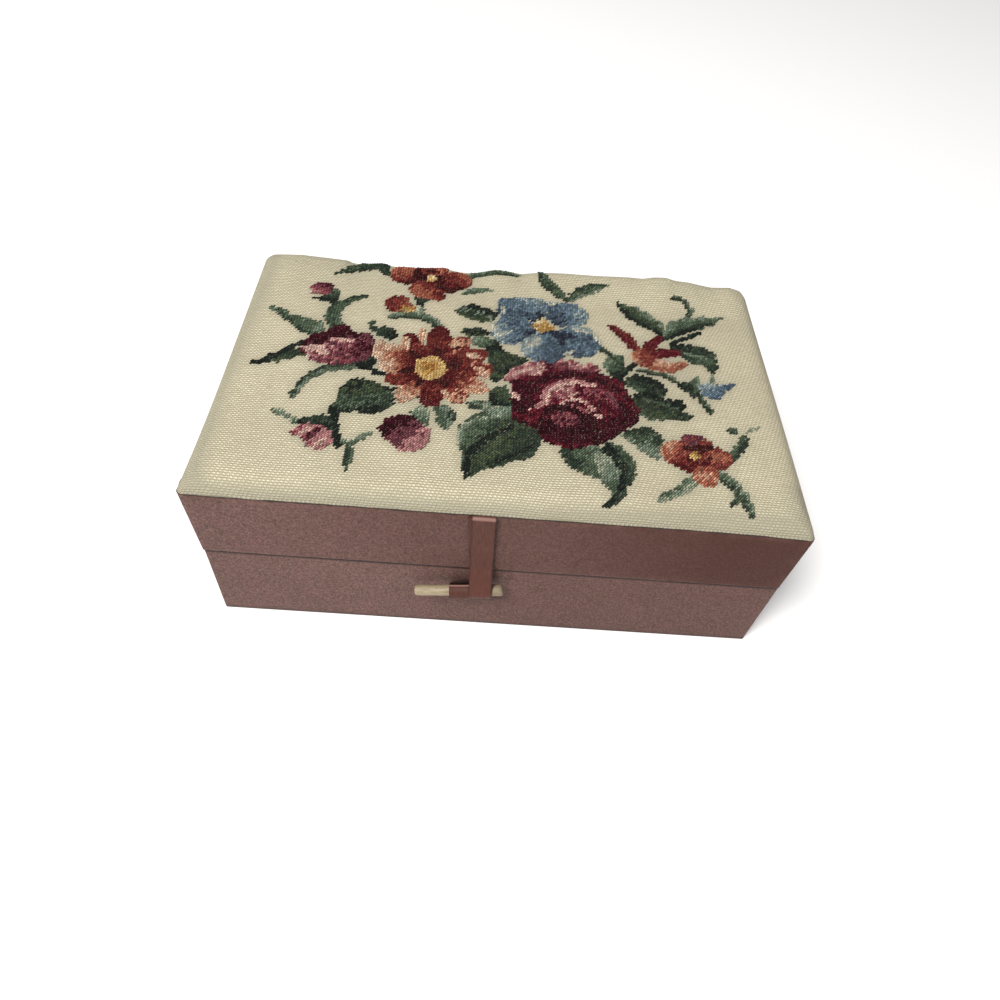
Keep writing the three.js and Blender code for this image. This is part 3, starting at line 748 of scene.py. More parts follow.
    def petal(self, ramp, width, base, tip, blunt=0.62):
        """A petal that is widest past its middle. The ramp runs from base to tip."""
        base, tip = np.array(base, float), np.array(tip, float)
        length = np.hypot(*(tip - base))
        way = (tip - base) / length
        dx, dy = self.x - base[0], self.y - base[1]
        share = (dx * way[0] + dy * way[1]) / length
        off = np.abs(dx * way[1] - dy * way[0])
        t = np.clip(share, 0, 1)
        end = np.sqrt(np.clip(1 - ((t - blunt) / (1 - blunt)) ** 2, 0, 1))
        half = width / 2 * np.where(t < blunt, 0.45 + 0.55 * t / blunt, end)
        inside = (share > 0) & (share < 1) & (off < half)
        self.work(inside, share * 0.95 + 0.12 * off / (width / 2), ramp, 0.2)


# The motifs, each with its ramp of wools, then the light of a patch or the width of a line, and
# its points as x, y, x, y

bouquet = Bouquet()
patch, oval, stroke, leaf = bouquet.patch, bouquet.oval, bouquet.stroke, bouquet.leaf

# Stems and leaves
# Left side
patch("edde", (1, 0.4), -91, 23.5, -84, 20.5, -77, 18.6, -69, 16.5, -68.5, 12, -72, 9, -79, 13)
stroke("ed", 2.4, -91, 24.2, -84, 21.6)
stroke("bd", 3, -87, 22, -80, 15.5, -74, 10.5, -70, 9.5)
leaf("abc", 5.4, -89, -7.2, -83, -3.4, -70, 1.2, lit=-1)
stroke("a", 2.6, -91, -7.6, -85, -5, -80, 1, -75, 5, -70, 5)
oval("a", -89.3, -7.3, 1.7, 1.1)
stroke("bd", 3.6, -57, 35, -61, 32.5, -66, 27)
stroke("bdd", 5.6, -66, 28, -67, 20.5, -64.5, 14, taper=0.1)
patch("abd", (0.3, 1), -76.4, 31.2, -72, 33.5, -70, 38, -67.5, 38.5, -66, 34, -67, 28.5, -74, 30.3)
stroke("bde", 3.6, -53, -6.5, -61, -8, -66, -9.5, -70.5, -14, -73, -22.5, taper=0.2)
patch("abb", (0, 1), -50.5, 6.5, -47, 5, -46.5, -1, -48.5, -7, -53, -8, -56, -4, -51, 0)
stroke("a", 2.4, -50, -6, -47, -8.6, -43.8, -9.4)
patch("abbd", (-1, 0.6), -53.5, 19, -51, 19.8, -50.8, 15.5, -47, 17.2, -43, 16, -41, 11.2, -44, 9.3, -48,
    11.4, -51.5, 14)
# Lower left
patch("abdbca", (-0.35, 1), -58.5, -19, -55.5, -13.4, -51.5, -12.6, -45, -14, -41, -17, -39, -20, -38.4, -24,
    -42, -27.3, -46, -29.5, -52, -28.5, -58, -30.5, -61, -27, -57.5, -23)
stroke("bd", 2, -56, -24.5, -50, -22, -44, -21.5)
stroke("a", 2, -42, -16.5, -39, -16.5, -36.8, -14.6)
stroke("a", 3.2, -58.5, -28, -57.5, -33, -56, -39, -54.5, -43, taper=0.1)
stroke("def", 2.4, -77.5, -30, -73, -32.2, -68.5, -35.2)
stroke("def", 2.8, -54, -41.5, -51.2, -42.8, -44.2, -37)
stroke("bd", 2.5, -51, -42, -50, -47, -50.6, -52.6)
patch("def", (0.3, 1), -33.5, -26.5, -29.5, -22.6, -26, -25, -26.6, -32, -30.4, -30)
patch("deb", (1, 0.2), -25, -23, -21, -21.8, -17, -25, -18, -29.5, -20, -34, -23.5, -31)
# Under the rose
patch("bde", (0.3, 1), -15, -20, -10, -18.6, -6, -19, -7, -22.4, -13, -22.8)
patch("def", (0, 1), -9, -20, -1, -19, 2, -22, 1, -28, -8, -25)
patch("abcd", (0.6, 1), -5, -12, -1, -10.6, 1.4, -15, 1.4, -20.6, -6, -20.6, -6.6, -15)
patch("bbcbdd", (-0.9, 0.6), -15.8, -31, -13, -26.4, -8, -24, 0, -27, 8, -29, 11.5, -31, 11.5, -37, 8, -43,
    4, -44.4, 0, -46.4, -6, -48.6, -9, -51, -12, -53.4, -14, -49, -14.2, -43, -16, -38)
stroke("def", 2.6, -15, -40, -15, -33, -10, -28, -2, -26)
stroke("a", 2.6, -12.6, -53, -12.2, -44, -8, -37, 2, -30)
stroke("ab", 2.2, -6, -47, 2, -42, 9, -37)
patch("bdde", (0.9, 0.4), 17, -38.5, 22, -36.6, 28, -35, 33, -37, 32, -43, 31, -49.5, 26, -48.6, 20, -45)
patch("def", (-0.6, 0.6), 29, -40, 34, -39, 38, -44, 38.5, -51, 35.5, -56, 31.5, -51.5)
patch("babd", (0.8, 0.2), 31, -37, 34, -33.6, 38.6, -34.6, 41.6, -39, 43.4, -43.6, 41.6, -50, 38.6, -54,
    37.6, -46, 34.4, -40.6)
stroke("ab", 3, 39.4, -43, 38.8, -50, 37, -55, 31.6, -60.8)
# Right of the rose
patch("eedbb", (0.25, 1), 39, -30, 41.6, -27.4, 45, -25.4, 50, -25, 52.4, -28, 53.6, -30.4, 52.6, -36, 50,
    -40, 46.4, -37, 42, -33)
patch("dbaa", (0.6, 1), 43, -1, 47, 1.4, 52, 0.6, 55.6, -2.4, 58, -6, 56, -10, 50, -9.6, 46, -7, 42, -5)
patch("dcbaa", (0.35, 1), 43.6, -12, 47, -8.4, 52, -8, 57, -11, 62, -10.4, 64, -13.4, 62, -16.6, 66, -18.6,
    63, -21, 58, -20.6, 50, -22, 46, -19.6, 43.8, -15)
stroke("bd", 2.4, 48, -12.4, 54, -13.6, 60, -15.6)
patch("abde", (-1, 0.7), 35, 5, 37, 9.6, 39.4, 11.4, 42.6, 10.6, 42.6, 3, 41, -2, 38, -1.4)
stroke("bc", 2.4, 33.6, 15.4, 37, 12.4, 39.6, 9)
stroke("ab", 2.5, 40.4, -3.4, 43, 2.4, 47.6, 7.6)
stroke("a", 3.4, 39, -2, 41.4, -5)
# Upper right
leaf("abcde", 9, 43.2, 45.4, 50.4, 37, 57.5, 30.4, 60.6, 25, full=0.5)
stroke("ab", 2.8, 45, 40.5, 50, 34, 56, 29.4, 60, 25)
leaf("dde", 8.6, 60, 25, 68, 33.2, 76, 36.2, 85.6, 41, full=0.4)
stroke("ab", 3, 59.6, 23, 66, 28, 73, 32.6, 80, 36.4)
stroke("ab", 2.6, 63, 22, 70, 26, 75, 30, taper=0.6)
patch("bdbba", (-0.5, 1), 61.6, 22, 66, 21.4, 75, 21, 79.2, 17.4, 79.4, 10, 76, 4.6, 74, 9.6, 69, 10.4, 66,
    13.4, 62, 17.6)
stroke("de", 2.6, 67, 16, 72, 14, 77, 13, taper=0.6)
stroke("a", 2.6, 62.6, 17.4, 65, 19)
stroke("bde", 2.8, 67, 51.6, 70.4, 52, 72.2, 48.6, 73.6, 44, 71.6, 39.6, taper=0.2)
stroke("bd", 5.6, 12.4, 62.4, 13.4, 57, 17, 51, 22, 44.4, taper=0.5)
leaf("edb", 6.6, 22.4, 42, 27.4, 49, 33.6, 53.6, 40, 56.6, full=0.6)
stroke("bce", 2.6, 48, 3.6, 53, 3, 58.6, 2, 62, -1.4)
patch("abde", (1, 0.5), 61, -2, 66, -0.6, 70, 3.4, 71.2, 0, 70.4, -7.6, 67, -8.4, 64, -5)
stroke("bd", 3, 69.4, -8, 71, -12, 72.4, -15.4)
stroke("ef", 1.8, 76, 5, 75.4, 0, 74.6, -3)
# Lower right
stroke("bd", 3.2, 75, -38, 78.6, -33.4, 81.4, -29.6, 82.6, -26.4, taper=0.1)
oval("bd", 78.8, -23.8, 2, 1.5)
stroke("f", 1.3, 84, -23.6, 86, -22, 89, -21)
stroke("bde", 4.4, 70.4, -43.4, 74.6, -48, 77.6, -53, 79.4, -59, taper=0.4)
stroke("bd", 2.4, 73, -55.6, 77.6, -53.6)
stroke("def", 4, 64, -44.6, 59, -50, 49.4, -56, taper=0.5)
# Upper left
patch("bbd", (-1, 0.8), -71.6, 47.6, -67, 54.4, -61, 57.8, -62, 61, -66, 63.5, -57, 63.8, -52, 62, -50.6, 58,
    -48.4, 50, -51.6, 50.6, -54.6, 54, -62, 51.6)
stroke("bde", 5.2, -18.6, 53, -15, 56.6, -10, 59.2, -4, 60.2, 2.4, 59, taper=0.5)
stroke("de", 4, -18.4, 42, -14.4, 45.4, -8.4, 46.2, taper=0.6)
patch("ab", (0.3, 1), -37.4, 36.4, -33.6, 38, -31.4, 35.4, -34, 33.4, -33.6, 30.6, -36.6, 31)
stroke("bde", 4.2, -45.4, 23.4, -39.6, 25.6, -33.6, 25, -28.4, 21.4, -25.6, 17.6)
stroke("ef", 2.6, -35, 26, -34, 29)
# Between the flowers
patch("cbeaa", (0.3, 1), -22.6, 29.4, -18.4, 33.6, -15, 35.4, -8, 33.4, -4.4, 30, -7, 25.6, -11, 24.2, -16,
    26)
patch("cab", (0, 1), -19, 17, -17, 19.4, -11, 20.6, -6.4, 18, -10, 16, -15, 14.6)
patch("bde", (-0.7, 0.7), -15.4, 12, -13, 15.6, -7, 15, -3, 12.6, -6, 9, -11, 9.4)
patch("abcba", (-0.4, 1), -9, 9, -4, 12.4, -1.4, 8, 7.4, 4.6, 4, 0.4, -1, -4.6, -6, -4, -8, 1)
patch("ac", (0.3, 1), -6.6, -4, -2, -4.4, -1.4, -7, -5.4, -9.6, -7, -7)

# Buds
# Pink bud at the upper left
oval("EDB", -73.6, 37.6, 4.6, 4.2, light=(0.6, 1))
oval("FE", -75.6, 36.4, 2.4, 2.4)
# The big bud on the left
patch("DBDAB", (-0.5, 1), -75.4, 3, -72.6, 9.4, -66, 12.4, -64.4, 15.8, -60.6, 16.2, -57.6, 12, -55, 11.6,
    -51.6, 12.6, -49.4, 9, -49.2, 2.4, -51, -3, -56, -6, -64, -6.6, -70, -4.6, -75.6, 0.6)
patch("EDFG", (-1, 0.6), -75.4, 2.6, -71, 3, -66, 4.6, -60, 2, -55, -1.6, -57, -5.6, -64, -6.4, -70, -4.4,
    mottle=0.45)
patch("DEFG", (-0.6, 1), -67, 3, -64.6, 8.6, -61, 7.4, -57, 9, -55.4, 5, -58, 0, -62, 3.4, mottle=0.5)
stroke("GG", 3.6, -72.4, 1.4, -69, 2.6, -65.6, -0.6)
stroke("BD", 1.8, -66, 5.6, -61.6, 4, -58, -3)
# Pink bud at the lower left, with its dark cup
patch("ab", (0.3, 1), -70, -36, -66.6, -32, -61, -30.6, -57, -34, -55, -38.4, -54, -43.4, -57, -41, -60,
    -36.6, -65, -35)
patch("EFFF", (1, 0.3), -70.4, -39, -66.6, -35, -61, -35.6, -57, -38.4, -56, -42, -58, -45.6, -61.4, -46.4,
    -65, -44.4, -66.6, -41.4, -69.4, -41, mottle=0.3)
stroke("BD", 2.2, -60.4, -36.4, -63, -39, -65.4, -42.6)
stroke("G", 1.7, -63.6, -36.6, -66.6, -39.6)
stroke("G", 2.4, -58.6, -41, -61.6, -45)
# Two coloured bud below the daisy
patch("FFDDAB", (-0.75, 0.65), -42.8, -35, -41, -31, -37, -28.4, -33, -28, -28, -31.4, -25.6, -34.4, -25,
    -39, -28, -43.4, -31, -44.4, -35, -43.6, -38, -40.4, -42, -37, mottle=0.2)
# Orange bud at the top
oval("IJJK", -43.7, 31.4, 5, 5.4, light=(1, -0.3))
oval("ihKK", -39.6, 29.2, 2.7, 3, light=(0, 1))
# Blue bud on the right
patch("OPPQ", (-0.8, 0.7), 70, -2, 73, 0.4, 76.4, -0.4, 80, 0.4, 84.6, 2.2, 83.4, -0.4, 80, -3.4, 77.4, -8,
    73, -8.6, 70, -6, mottle=0.35)
# The lily
stroke("CIJ", 4.8, 40, 28.2, 45, 22, 49.6, 13, taper=0.3)
stroke("IC", 4.4, 58.4, 23.6, 53.4, 18, 50, 11, taper=0.3)
stroke("ICI", 5.2, 64.4, 15.6, 58, 15, 50.4, 10, taper=0.4)
stroke("LKK", 5, 65.8, 9.6, 60.6, 6.4, 52.4, 6.4, taper=0.3)
oval("LM", 57.6, 9, 4, 2.2)
oval("LKJJ", 50.2, 11, 4.4, 5.4, light=(1, 0.2))

# Rust flowers
# At the top, running over the back edge
oval("HA", -33, 50.5, 9, 8)
oval("IJJK", -32.4, 60.2, 6.6, 7, light=(1, -0.3))
oval("IJKK", -42.8, 52.4, 6.2, 7.2, tilt=-20, light=(-0.4, 1))
oval("IJJK", -22.4, 51.2, 6.4, 6.6, tilt=20, light=(0.4, 0.4))
oval("KKJI", -33, 42.6, 7, 6.6, light=(0.2, 1))
oval("JI", -28.4, 38.6, 2.8, 3)
stroke("H", 3.4, -38, 58, -38.4, 50)
stroke("H", 2.6, -40, 47, -42, 45.6)
stroke("H", 2.8, -28.6, 52, -28.6, 45, -25, 42.6, -19.6, 46)
stroke("H", 2.2, -34.6, 56, -30, 56)
oval("ij", -32.2, 51, 1.9, 2.7)
# At the lower right
oval("IJK", 64.4, -37.4, 6.2, 5)
oval("IDJD", 64.8, -31.2, 5.6, 4.2, light=(0, 1))
oval("IJKL", 57.6, -36.4, 5.8, 5.8, light=(-0.6, 0.6))
oval("JKJ", 71.2, -37.2, 5.2, 5.2, light=(-0.2, 1))
oval("KLKJ", 66, -44, 4.6, 5.4, light=(0.2, 1))
oval("IJ", 60.6, -41, 3.4, 2.6)
stroke("H", 2.6, 60, -33.6, 64.6, -33.4, 70, -32.6)
stroke("IH", 1.8, 61.6, -39, 66, -40.6, 69.6, -37)
oval("ih", 64.2, -36.6, 1.9, 1.9)

# The daisy: its petals' angles in degrees, lengths, widths and ramps
DAISY_X, DAISY_Y = -28.0, -3.6
DAISY_RAMPS = ("HHIJJ", "HIJII", "HHIJLJ", "HIJKLM")
DAISY_PETALS = (
    (84, 23.5, 9.0, 1), (56, 22.0, 8.6, 2), (27, 22.6, 8.0, 0), (2, 22.8, 8.4, 2),
    (-27, 23.0, 8.6, 3), (-52, 21.0, 8.4, 2), (-86, 20.0, 9.2, 1), (-117, 20.4, 8.6, 3),
    (-148, 17.4, 8.6, 0), (-176, 18.6, 8.0, 3), (155, 21.4, 9.0, 3), (121, 20.4, 7.6, 1),
)


def from_daisy(degrees, length):
    way = math.radians(degrees)
    return DAISY_X + length * math.cos(way), DAISY_Y + length * math.sin(way)


for turn, length, width, pale in DAISY_PETALS:
    bouquet.petal(DAISY_RAMPS[pale], width, from_daisy(turn, 3), from_daisy(turn, length))
# Pale folds beside the petals' middles
stroke("ML", 3, -32, 9, -32.6, 17)
stroke("ML", 3.6, -37.6, 6, -38.6, 11.4)
stroke("ML", 3.2, -20.8, 8.4, -20, 12.4)
stroke("ML", 3, -14.6, 5, -10.6, 3.4)
stroke("ML", 4.4, -47, 7.4, -47, 1, -44, -2.6)
stroke("LM", 3.4, -10.4, -2.6, -8.4, -6.6)
stroke("LM", 3.6, -13, -12.6, -7.6, -13.2)
stroke("LM", 2.2, -22.6, -14.8, -21, -17.4)
stroke("LM", 2.8, -38, -18, -35.8, -22)
oval("HHI", DAISY_X, DAISY_Y, 8.4, 8.8, rim=True, mottle=0.3)
for turn in (20, 75, 135, 200, 250, 305):
    stroke("H", 3.4, *from_daisy(turn, 6), *from_daisy(turn, 11), taper=0.6)
oval("ghii", DAISY_X, DAISY_Y, 5.9, 6.3, rim=True, mottle=0.3)
oval("hg", -28.4, -4.2, 1.7, 2, mottle=0.5)

# Pansy
patch("OOPPQ", (0.2, 1), -4.6, 40.4, 2, 42.4, 13.6, 42.6, 15.4, 38, 13, 30, 4, 27, -4, 30, -5.4, 34)
patch("OOPPQ", (0.8, 0.3), 15, 37.6, 21, 41.6, 26, 41.4, 30, 37.6, 31.4, 32.6, 29, 28, 20, 25, 14, 30)
patch("QPOP", (0.8, 0.5), -4, 29, 5, 30, 11, 24, 7, 16, 2, 12.6, -4, 12.4, -7.4, 17, -5.4, 24)
patch("OOPQ", (-0.9, 0.4), 9, 20, 4, 14, 5, 8, 10, 4, 16, 3.6, 20.6, 8, 21.4, 14, 18, 21, 13, 23)
patch("OPOP", (0.5, 1), 16, 22, 23, 26, 31, 24, 34, 19.6, 35, 15, 31, 9.6, 24.6, 8, 20, 13)
stroke("QR", 2.6, -3.4, 35, -3, 30.6)
stroke("RQ", 3, -5.6, 24, -4, 17.4, 0, 20)
stroke("RQ", 4.2, 6.6, 13, 9.4, 17.4)
stroke("QR", 2.4, 11, 14, 11.6, 19)
stroke("RQ", 3.6, 24.4, 25.4, 31.4, 24)
stroke("R", 2, 32, 22.4, 34.4, 18.6)
stroke("RQ", 2.2, 15.6, 40.6, 19, 41)
stroke("R", 2, 21, 9.4, 24, 11.6)
stroke("N", 2.6, 11.4, 34, 11.8, 29)
stroke("NO", 2.6, 16, 30, 21, 34.4)
stroke("NO", 2.2, 16.6, 27.6, 21, 28.8)
stroke("NO", 2.8, 7.4, 32, 9.4, 28)
stroke("N", 4.4, 15.6, 22.6, 19, 20.6, 25, 19.8, taper=0.5)
stroke("N", 2.4, 18.8, 19, 20.4, 15.4)
stroke("NO", 2.8, 6, 19.6, 9.6, 22)
stroke("NO", 2.2, 15, 23, 13, 20.4)
patch("hihj", (-0.2, 1), 8, 25, 10.6, 27, 12.6, 30, 14.8, 27.4, 17.4, 25, 15, 21.6, 11, 21.6, mottle=0.8)
stroke("ghi", 1.8, 12.4, 23.6, 13, 26.4, mottle=0.8)

# Rose
patch("ABCB", (-0.2, 1), 0.6, -8, 3, -2, 8, 3, 13, 4.6, 17, 3, 23, 4.6, 31, 3.4, 35, 0, 41.6, -3.6, 43, -10,
    46.6, -17, 45.6, -23, 39, -29, 33.6, -34, 28, -36.4, 22, -38.6, 12, -35.4, 10, -30.4, 2, -27.4, 0.8, -20,
    2, -14, mottle=0.3)
# Outer petals at the top
patch("EFGE", (0.1, 1), -1.4, -8, 0, -2, 5, 1.6, 9, 4, 13.4, 4.6, 14, 0.4, 11, -4.6, 6, -4, 3, -7,
    mottle=0.4)
stroke("GF", 2.8, 0, -6.4, 3, -2.4, 9.4, 0.8)
stroke("GF", 2.8, 9, -3, 11, 1)
patch("DEF", (0, 1), 15, 2, 19, 6, 23, 7, 27, 5, 31, 6, 34.4, 2, 31, 0.6, 24, 1, 18, 0.6, mottle=0.45)
stroke("FG", 2.2, 22, 4, 25, 3, 29, 3.4)
# Dark folds
stroke("AB", 3.6, 3, -12, 8, -8, 14, -4, 22, -0.6, 28, -0.8)
stroke("AB", 3.2, 27, -4.4, 33, -2.6, 40, -8)
oval("AB", 7.6, -10.6, 4.4, 3.4, tilt=40)
# The heart and its pale folds
patch("EFEC", (0.3, -1), 11, -18, 12, -11, 15, -7, 20, -4, 25, -4, 24, -9, 21, -14, 17, -18, mottle=0.5)
stroke("GF", 3, 12.6, -17.4, 14, -11, 19, -6.4, 24, -4.6, 30.6, -6, taper=0.2)
stroke("GF", 1.8, 16.4, -11.4, 19.6, -8.8, 22.6, -9)
stroke("GF", 2.4, 7, -21, 10.6, -20, 13.6, -16.4)
patch("AB", (0.3, 1), 1.4, -11, 9, -12, 10, -19, 5, -25, 1, -20, mottle=0.3)
stroke("GF", 2.6, 1.6, -14, 3.4, -16)
stroke("GE", 2, 19, -17, 21.6, -12.6, 24.6, -10)
patch("CBCE", (0.4, 1), 25, -8, 30, -7.6, 37, -9.4, 40, -14, 39, -21, 34, -22, 30, -16, 26, -12, mottle=0.5)
stroke("ED", 2, 37.4, -10, 38.4, -17)
stroke("ED", 1.6, 33, -9.4, 36.6, -12.4)
stroke("FGE", 2.4, 23, -14.6, 26, -13.6, 29.6, -17.4, 31, -19.6)
stroke("G", 2, 31.4, -21.6, 32.8, -22.6)
stroke("EF", 2, 22, -17.4, 26, -18.6, 28.4, -20.6)
stroke("A", 3, 13, -21.4, 17, -19, 23, -19.4, 28, -23.4, 31, -27, taper=0.3)
oval("BDEE", 20, -24.4, 4.8, 3.4, tilt=10, mottle=0.6)
patch("BAAB", (0.2, 1), 11, -24, 16, -27.6, 24, -28, 33, -25, 39, -24, 37, -30, 30, -34, 20, -36, 13, -32,
    mottle=0.45)
stroke("CB", 2.2, 12, -33, 20, -36.6, 28, -35)
stroke("AB", 2.6, 40, -14, 42.6, -20, 40, -26)
stroke("C", 2.4, 3, -24, 8, -26.6, 11.6, -22)


def unit(vectors):
    return vectors / np.linalg.norm(vectors, axis=1, keepdims=True)


def make_stitches(b, material):
    """One slanting stitch over each worked cell, in a piece for each family of wools."""
    # Along a stitch from end to end, and across it from side to side
    along = np.array((0.0, 0.2, 0.5, 0.8, 1.0))
    lift = np.array((-0.02, 0.12, 0.21, 0.14, 0.0))
    half_width = np.array((0.39, 0.41, 0.42, 0.41, 0.39))
    # Painted shade at each stitch's ends and sides, and a painted highlight along its crest
    shade_along = np.array((0.34, 1.0, 1.22, 1.06, 0.42))
    off = np.array((-1.0, -0.52, 0.0, 0.52, 1.0))
    height = np.array((-0.10, 0.16, 0.26, 0.16, -0.10))
    shade_across = np.array((0.12, 0.84, 1.25, 0.84, 0.12))
    grid, points_each = grid_faces(len(along), len(off)), len(along) * len(off)
    rng = np.random.default_rng(29)
    pieces, first = [], 0
    for name, wools in WOOLS.items():
        chosen = (b.wool >= first) & (b.wool < first + len(wools))
        chosen &= np.abs(b.v) < Y_TABLE[1][-1] - STITCH_Y
        u, v, wool = b.u[chosen], b.v[chosen], b.wool[chosen] - first
        first += len(wools)
        count = len(u)
        reach_x = 0.52 * STITCH_X * rng.uniform(0.94, 1.06, count)
        reach_y = 0.52 * STITCH_Y * rng.uniform(0.94, 1.06, count)
        dx, dy = rng.normal(0, 0.045, (2, count))
        start = crown_point(u + dx - reach_x, v + dy - reach_y)
        way = crown_point(u + dx + reach_x, v + dy + reach_y) - start
        up = unit(np.cross(crown_point(u + 0.4, v - 0.4) - start, way))
        up *= np.sign(up[:, 2:])
        side = unit(np.cross(up, way))
        plump = rng.uniform(0.90, 1.12, count)[:, None, None, None]
        middle = start[:, None] + way[:, None] * along[None, :, None]
        across = (half_width[:, None] * off)[None, :, :, None] * plump
        rise = (lift[:, None] + height)[None, :, :, None] * plump
        points = middle[:, :, None] + side[:, None, None] * across + up[:, None, None] * rise
        faces = (grid + points_each * np.arange(count)[:, None, None]).reshape(-1, 4)
        piece = new_object(name, points.reshape(-1, 3), faces, material)
        colours = np.array([[linear(channel) for channel in colour] for colour in wools])[wool]
        tint = rng.normal(1.0, 0.17, (count, 1)) * rng.normal(1.0, 0.02, (count, 3))
        tint *= b.tone[chosen][:, None]
        colours = colours * tint
        shade = shade_along[:, None] * shade_across
        colours = colours[:, None, None] * shade[None, :, :, None] * WOOL_BRIGHTNESS
        # The canvas shows as a pale speck beside the ends of some stitches
        bare = rng.random(count) < (0.2 if name == "wool_greens" else 0.5)
        speck = colours[bare, 2, 2][:, None] * 2.5 + np.array(CREAM_LIGHT) * 0.15
        colours[bare, 0, 1:4] = 0.3 * colours[bare, 0, 1:4] + 0.7 * speck
        colours = colours.reshape(-1, 3)
        set_points(piece, wool=np.column_stack([colours, np.ones(len(colours))]))
        pieces.append(piece)
    return pieces


# Silk covers of the case and the lid: the outer face, how deep it counts as the face, the upright
# edges, the corners' radius, and the points along a long side, a short side and a corner

FACE_X, FACE_Y, FACE_MIDDLE_Y, FACE_DEPTH = 100.85, 62.3, 0.32, 0.8
EDGE_X, EDGE_Y = 101, 62.4
COVER_RADIUS, COVER_COUNTS = 0.8, (90, 56, 5)


def turned(first, last, centre, radius, steps=5):
    """Points of a quarter turn of a profile, by angles in degrees."""
    angles = np.radians(np.linspace(first, last, steps))
    return [(centre[0] + radius * math.cos(a), centre[1] + radius * math.sin(a)) for a in angles]


def straight(start, end, step=3.0):
    """Points between two ends of a profile, the ends left out."""
    start, end = np.array(start, float), np.array(end, float)
    count = max(1, int(round(np.hypot(*(end - start)) / step)))
    return [tuple(start + (end - start) * t) for t in np.arange(1, count) / count]


def silk_profile(low, high, inner_end, tuck):
    """A wall's section: up the inside, over the rim, down the outside and under."""
    wall, edge, foot = 3.6, 0.55, 0.45
    profile = [(-wall, inner_end)]
    profile += straight((-wall, inner_end), (-wall, high - edge))
    profile += turned(180, 90, (-wall + edge, high - edge), edge)
    profile += straight((-wall + edge, high), (-edge, high), 1.2)
    profile += turned(90, 0, (-edge, high - edge), edge)
    profile += [(0, high - edge - step) for step in (0, 0.3, 0.65, 1.0, 1.5)]
    profile += straight((0, high - edge - 1.5), (0, low + foot), 2.4)
    profile += turned(0, -90, (-foot, low + foot), foot)
    return profile + [(-foot - tuck, low)]


def read_inset(points):
    """How far inside the outer face each point is."""
    return np.minimum(FACE_X - np.abs(points[:, 0]), FACE_Y - np.abs(points[:, 1] - FACE_MIDDLE_Y))


def make_cover(name, node, profile, rim, heights, soil, shaded, seed, material):
    """A cover swept around the box, slightly uneven, worn at its edges, darker at its foot, with painted
    shade along the seam and towards the right of its front.
    """
    low, high = node_box(node)
    rows = []
    for out, z in profile:
        sides = high[0] + out, low[1] - out, high[1] + out
        place, outward = ring(*sides, max(COVER_RADIUS + out, 0.3), COVER_COUNTS)
        rows.append(np.column_stack([place, np.full(len(place), z)]))
    cover = loft(name, rows, material)
    points = read_points(cover)
    from_edge = np.minimum(points[:, 2] - heights[0], heights[1] - points[:, 2])
    push = 0.10 * smooth_noise(points, 34, seed) + 0.03 * smooth_noise(points, 7, seed + 1)
    push *= np.clip(from_edge / 4, 0.15, 1)
    points[:, :2] += np.tile(outward, (len(rows), 1)) * push[:, None]
    near_rim = np.exp(-np.abs(points[:, 2] - rim) / 1.0)
    wave = 0.09 * smooth_noise(points * (1, 1, 0), 16, seed + 2)
    wave += 0.04 * smooth_noise(points * (1, 1, 0), 4, seed + 3)
    points[:, 2] += near_rim * wave
    points = draw_out_corners(points, np.clip(1.5 - read_inset(points) / 2, 0, 1))
    write_points(cover, points)
    x, y, z = points.T
    from_corner = np.hypot(EDGE_X - np.abs(x), EDGE_Y - np.abs(y))
    wear = np.maximum(np.exp(-from_edge / 0.9), 0.3 * np.exp(-from_corner / 1.5))
    on_face = read_inset(points) < FACE_DEPTH
    # Bands of painted shade along the seam, and a darker band at the case's foot
    seam_shade_and_foot_bands = np.zeros(len(points))
    for height, reach, depth in soil:
        seam_shade_and_foot_bands = np.maximum(seam_shade_and_foot_bands, depth * np.exp(-((z - height) / reach) ** 4))
    # Painted shade growing towards the right, strongest at the front and fading towards the back
    shade = np.interp(x, (-90, -30, 20, 75), shaded) * np.clip((15 - y) / 75, 0.1, 1)
    set_points(cover, wear=wear, soil=seam_shade_and_foot_bands * on_face, shaded=shade * on_face)
    return cover


def make_case_silk(material):
    (_, _, foot), (_, _, rim) = node_box("case_silk")
    profile = silk_profile(foot, rim, rim - 26, 1.5)
    # Painted shade along the seam under the lid, and a darker foot
    soil = ((rim - 0.4, 0.75, 1.0), (foot + 0.1, 0.8, 0.75))
    # Painted shade towards the right of the front
    shaded = (0, 0, 0.26, 0.28)
    return make_cover("case_cover", "case_silk", profile, rim, (foot, rim), soil, shaded, 5, material)


def make_lid_silk(material):
    rim, top = node_box("lid_silk")[0][2], CROWN_FOOT - 0.1
    profile = [(out, -z) for out, z in silk_profile(-top, -rim, -(rim + 14), 0.3)][::-1]
    # Painted shade along the seam, and towards the right of the front
    soil, shaded = ((rim - 0.2, 0.5, 1.0),), (0.02, 0.33, 0.46, 0.92)
    return make_cover("lid_cover", "lid_silk", profile, rim, (rim, top), soil, shaded, 9, material)


def make_glue_line(material):
    """The dark bead of glue between the canvas and the lid's silk."""
    half_x, half_y, rows = 101.35, 62.55, []
    section = ((-0.5, -0.4), (0.15, -0.36), (0.42, -0.2), (0.5, 0.02), (0.36, 0.24), (-0.5, 0.3))
    for out, rise in section:
        place, outward = ring(half_x + out, -half_y - out, half_y + out, 2.0, (160, 100, 6))
        x, y = place.T
        swell = 0.10 * ripple(x, y, 6, 12) + 0.08 * ripple(x, y, 2.2, 13)
        z = CROWN_FOOT + rise * (1.1 + 0.5 * ripple(x, y, 23, 15)) + 0.10 * ripple(x, y, 11, 14)
        rows.append(draw_out_corners(np.column_stack([place + outward * swell[:, None], z])))
    return loft("glue_line", rows, material)


# The clasp

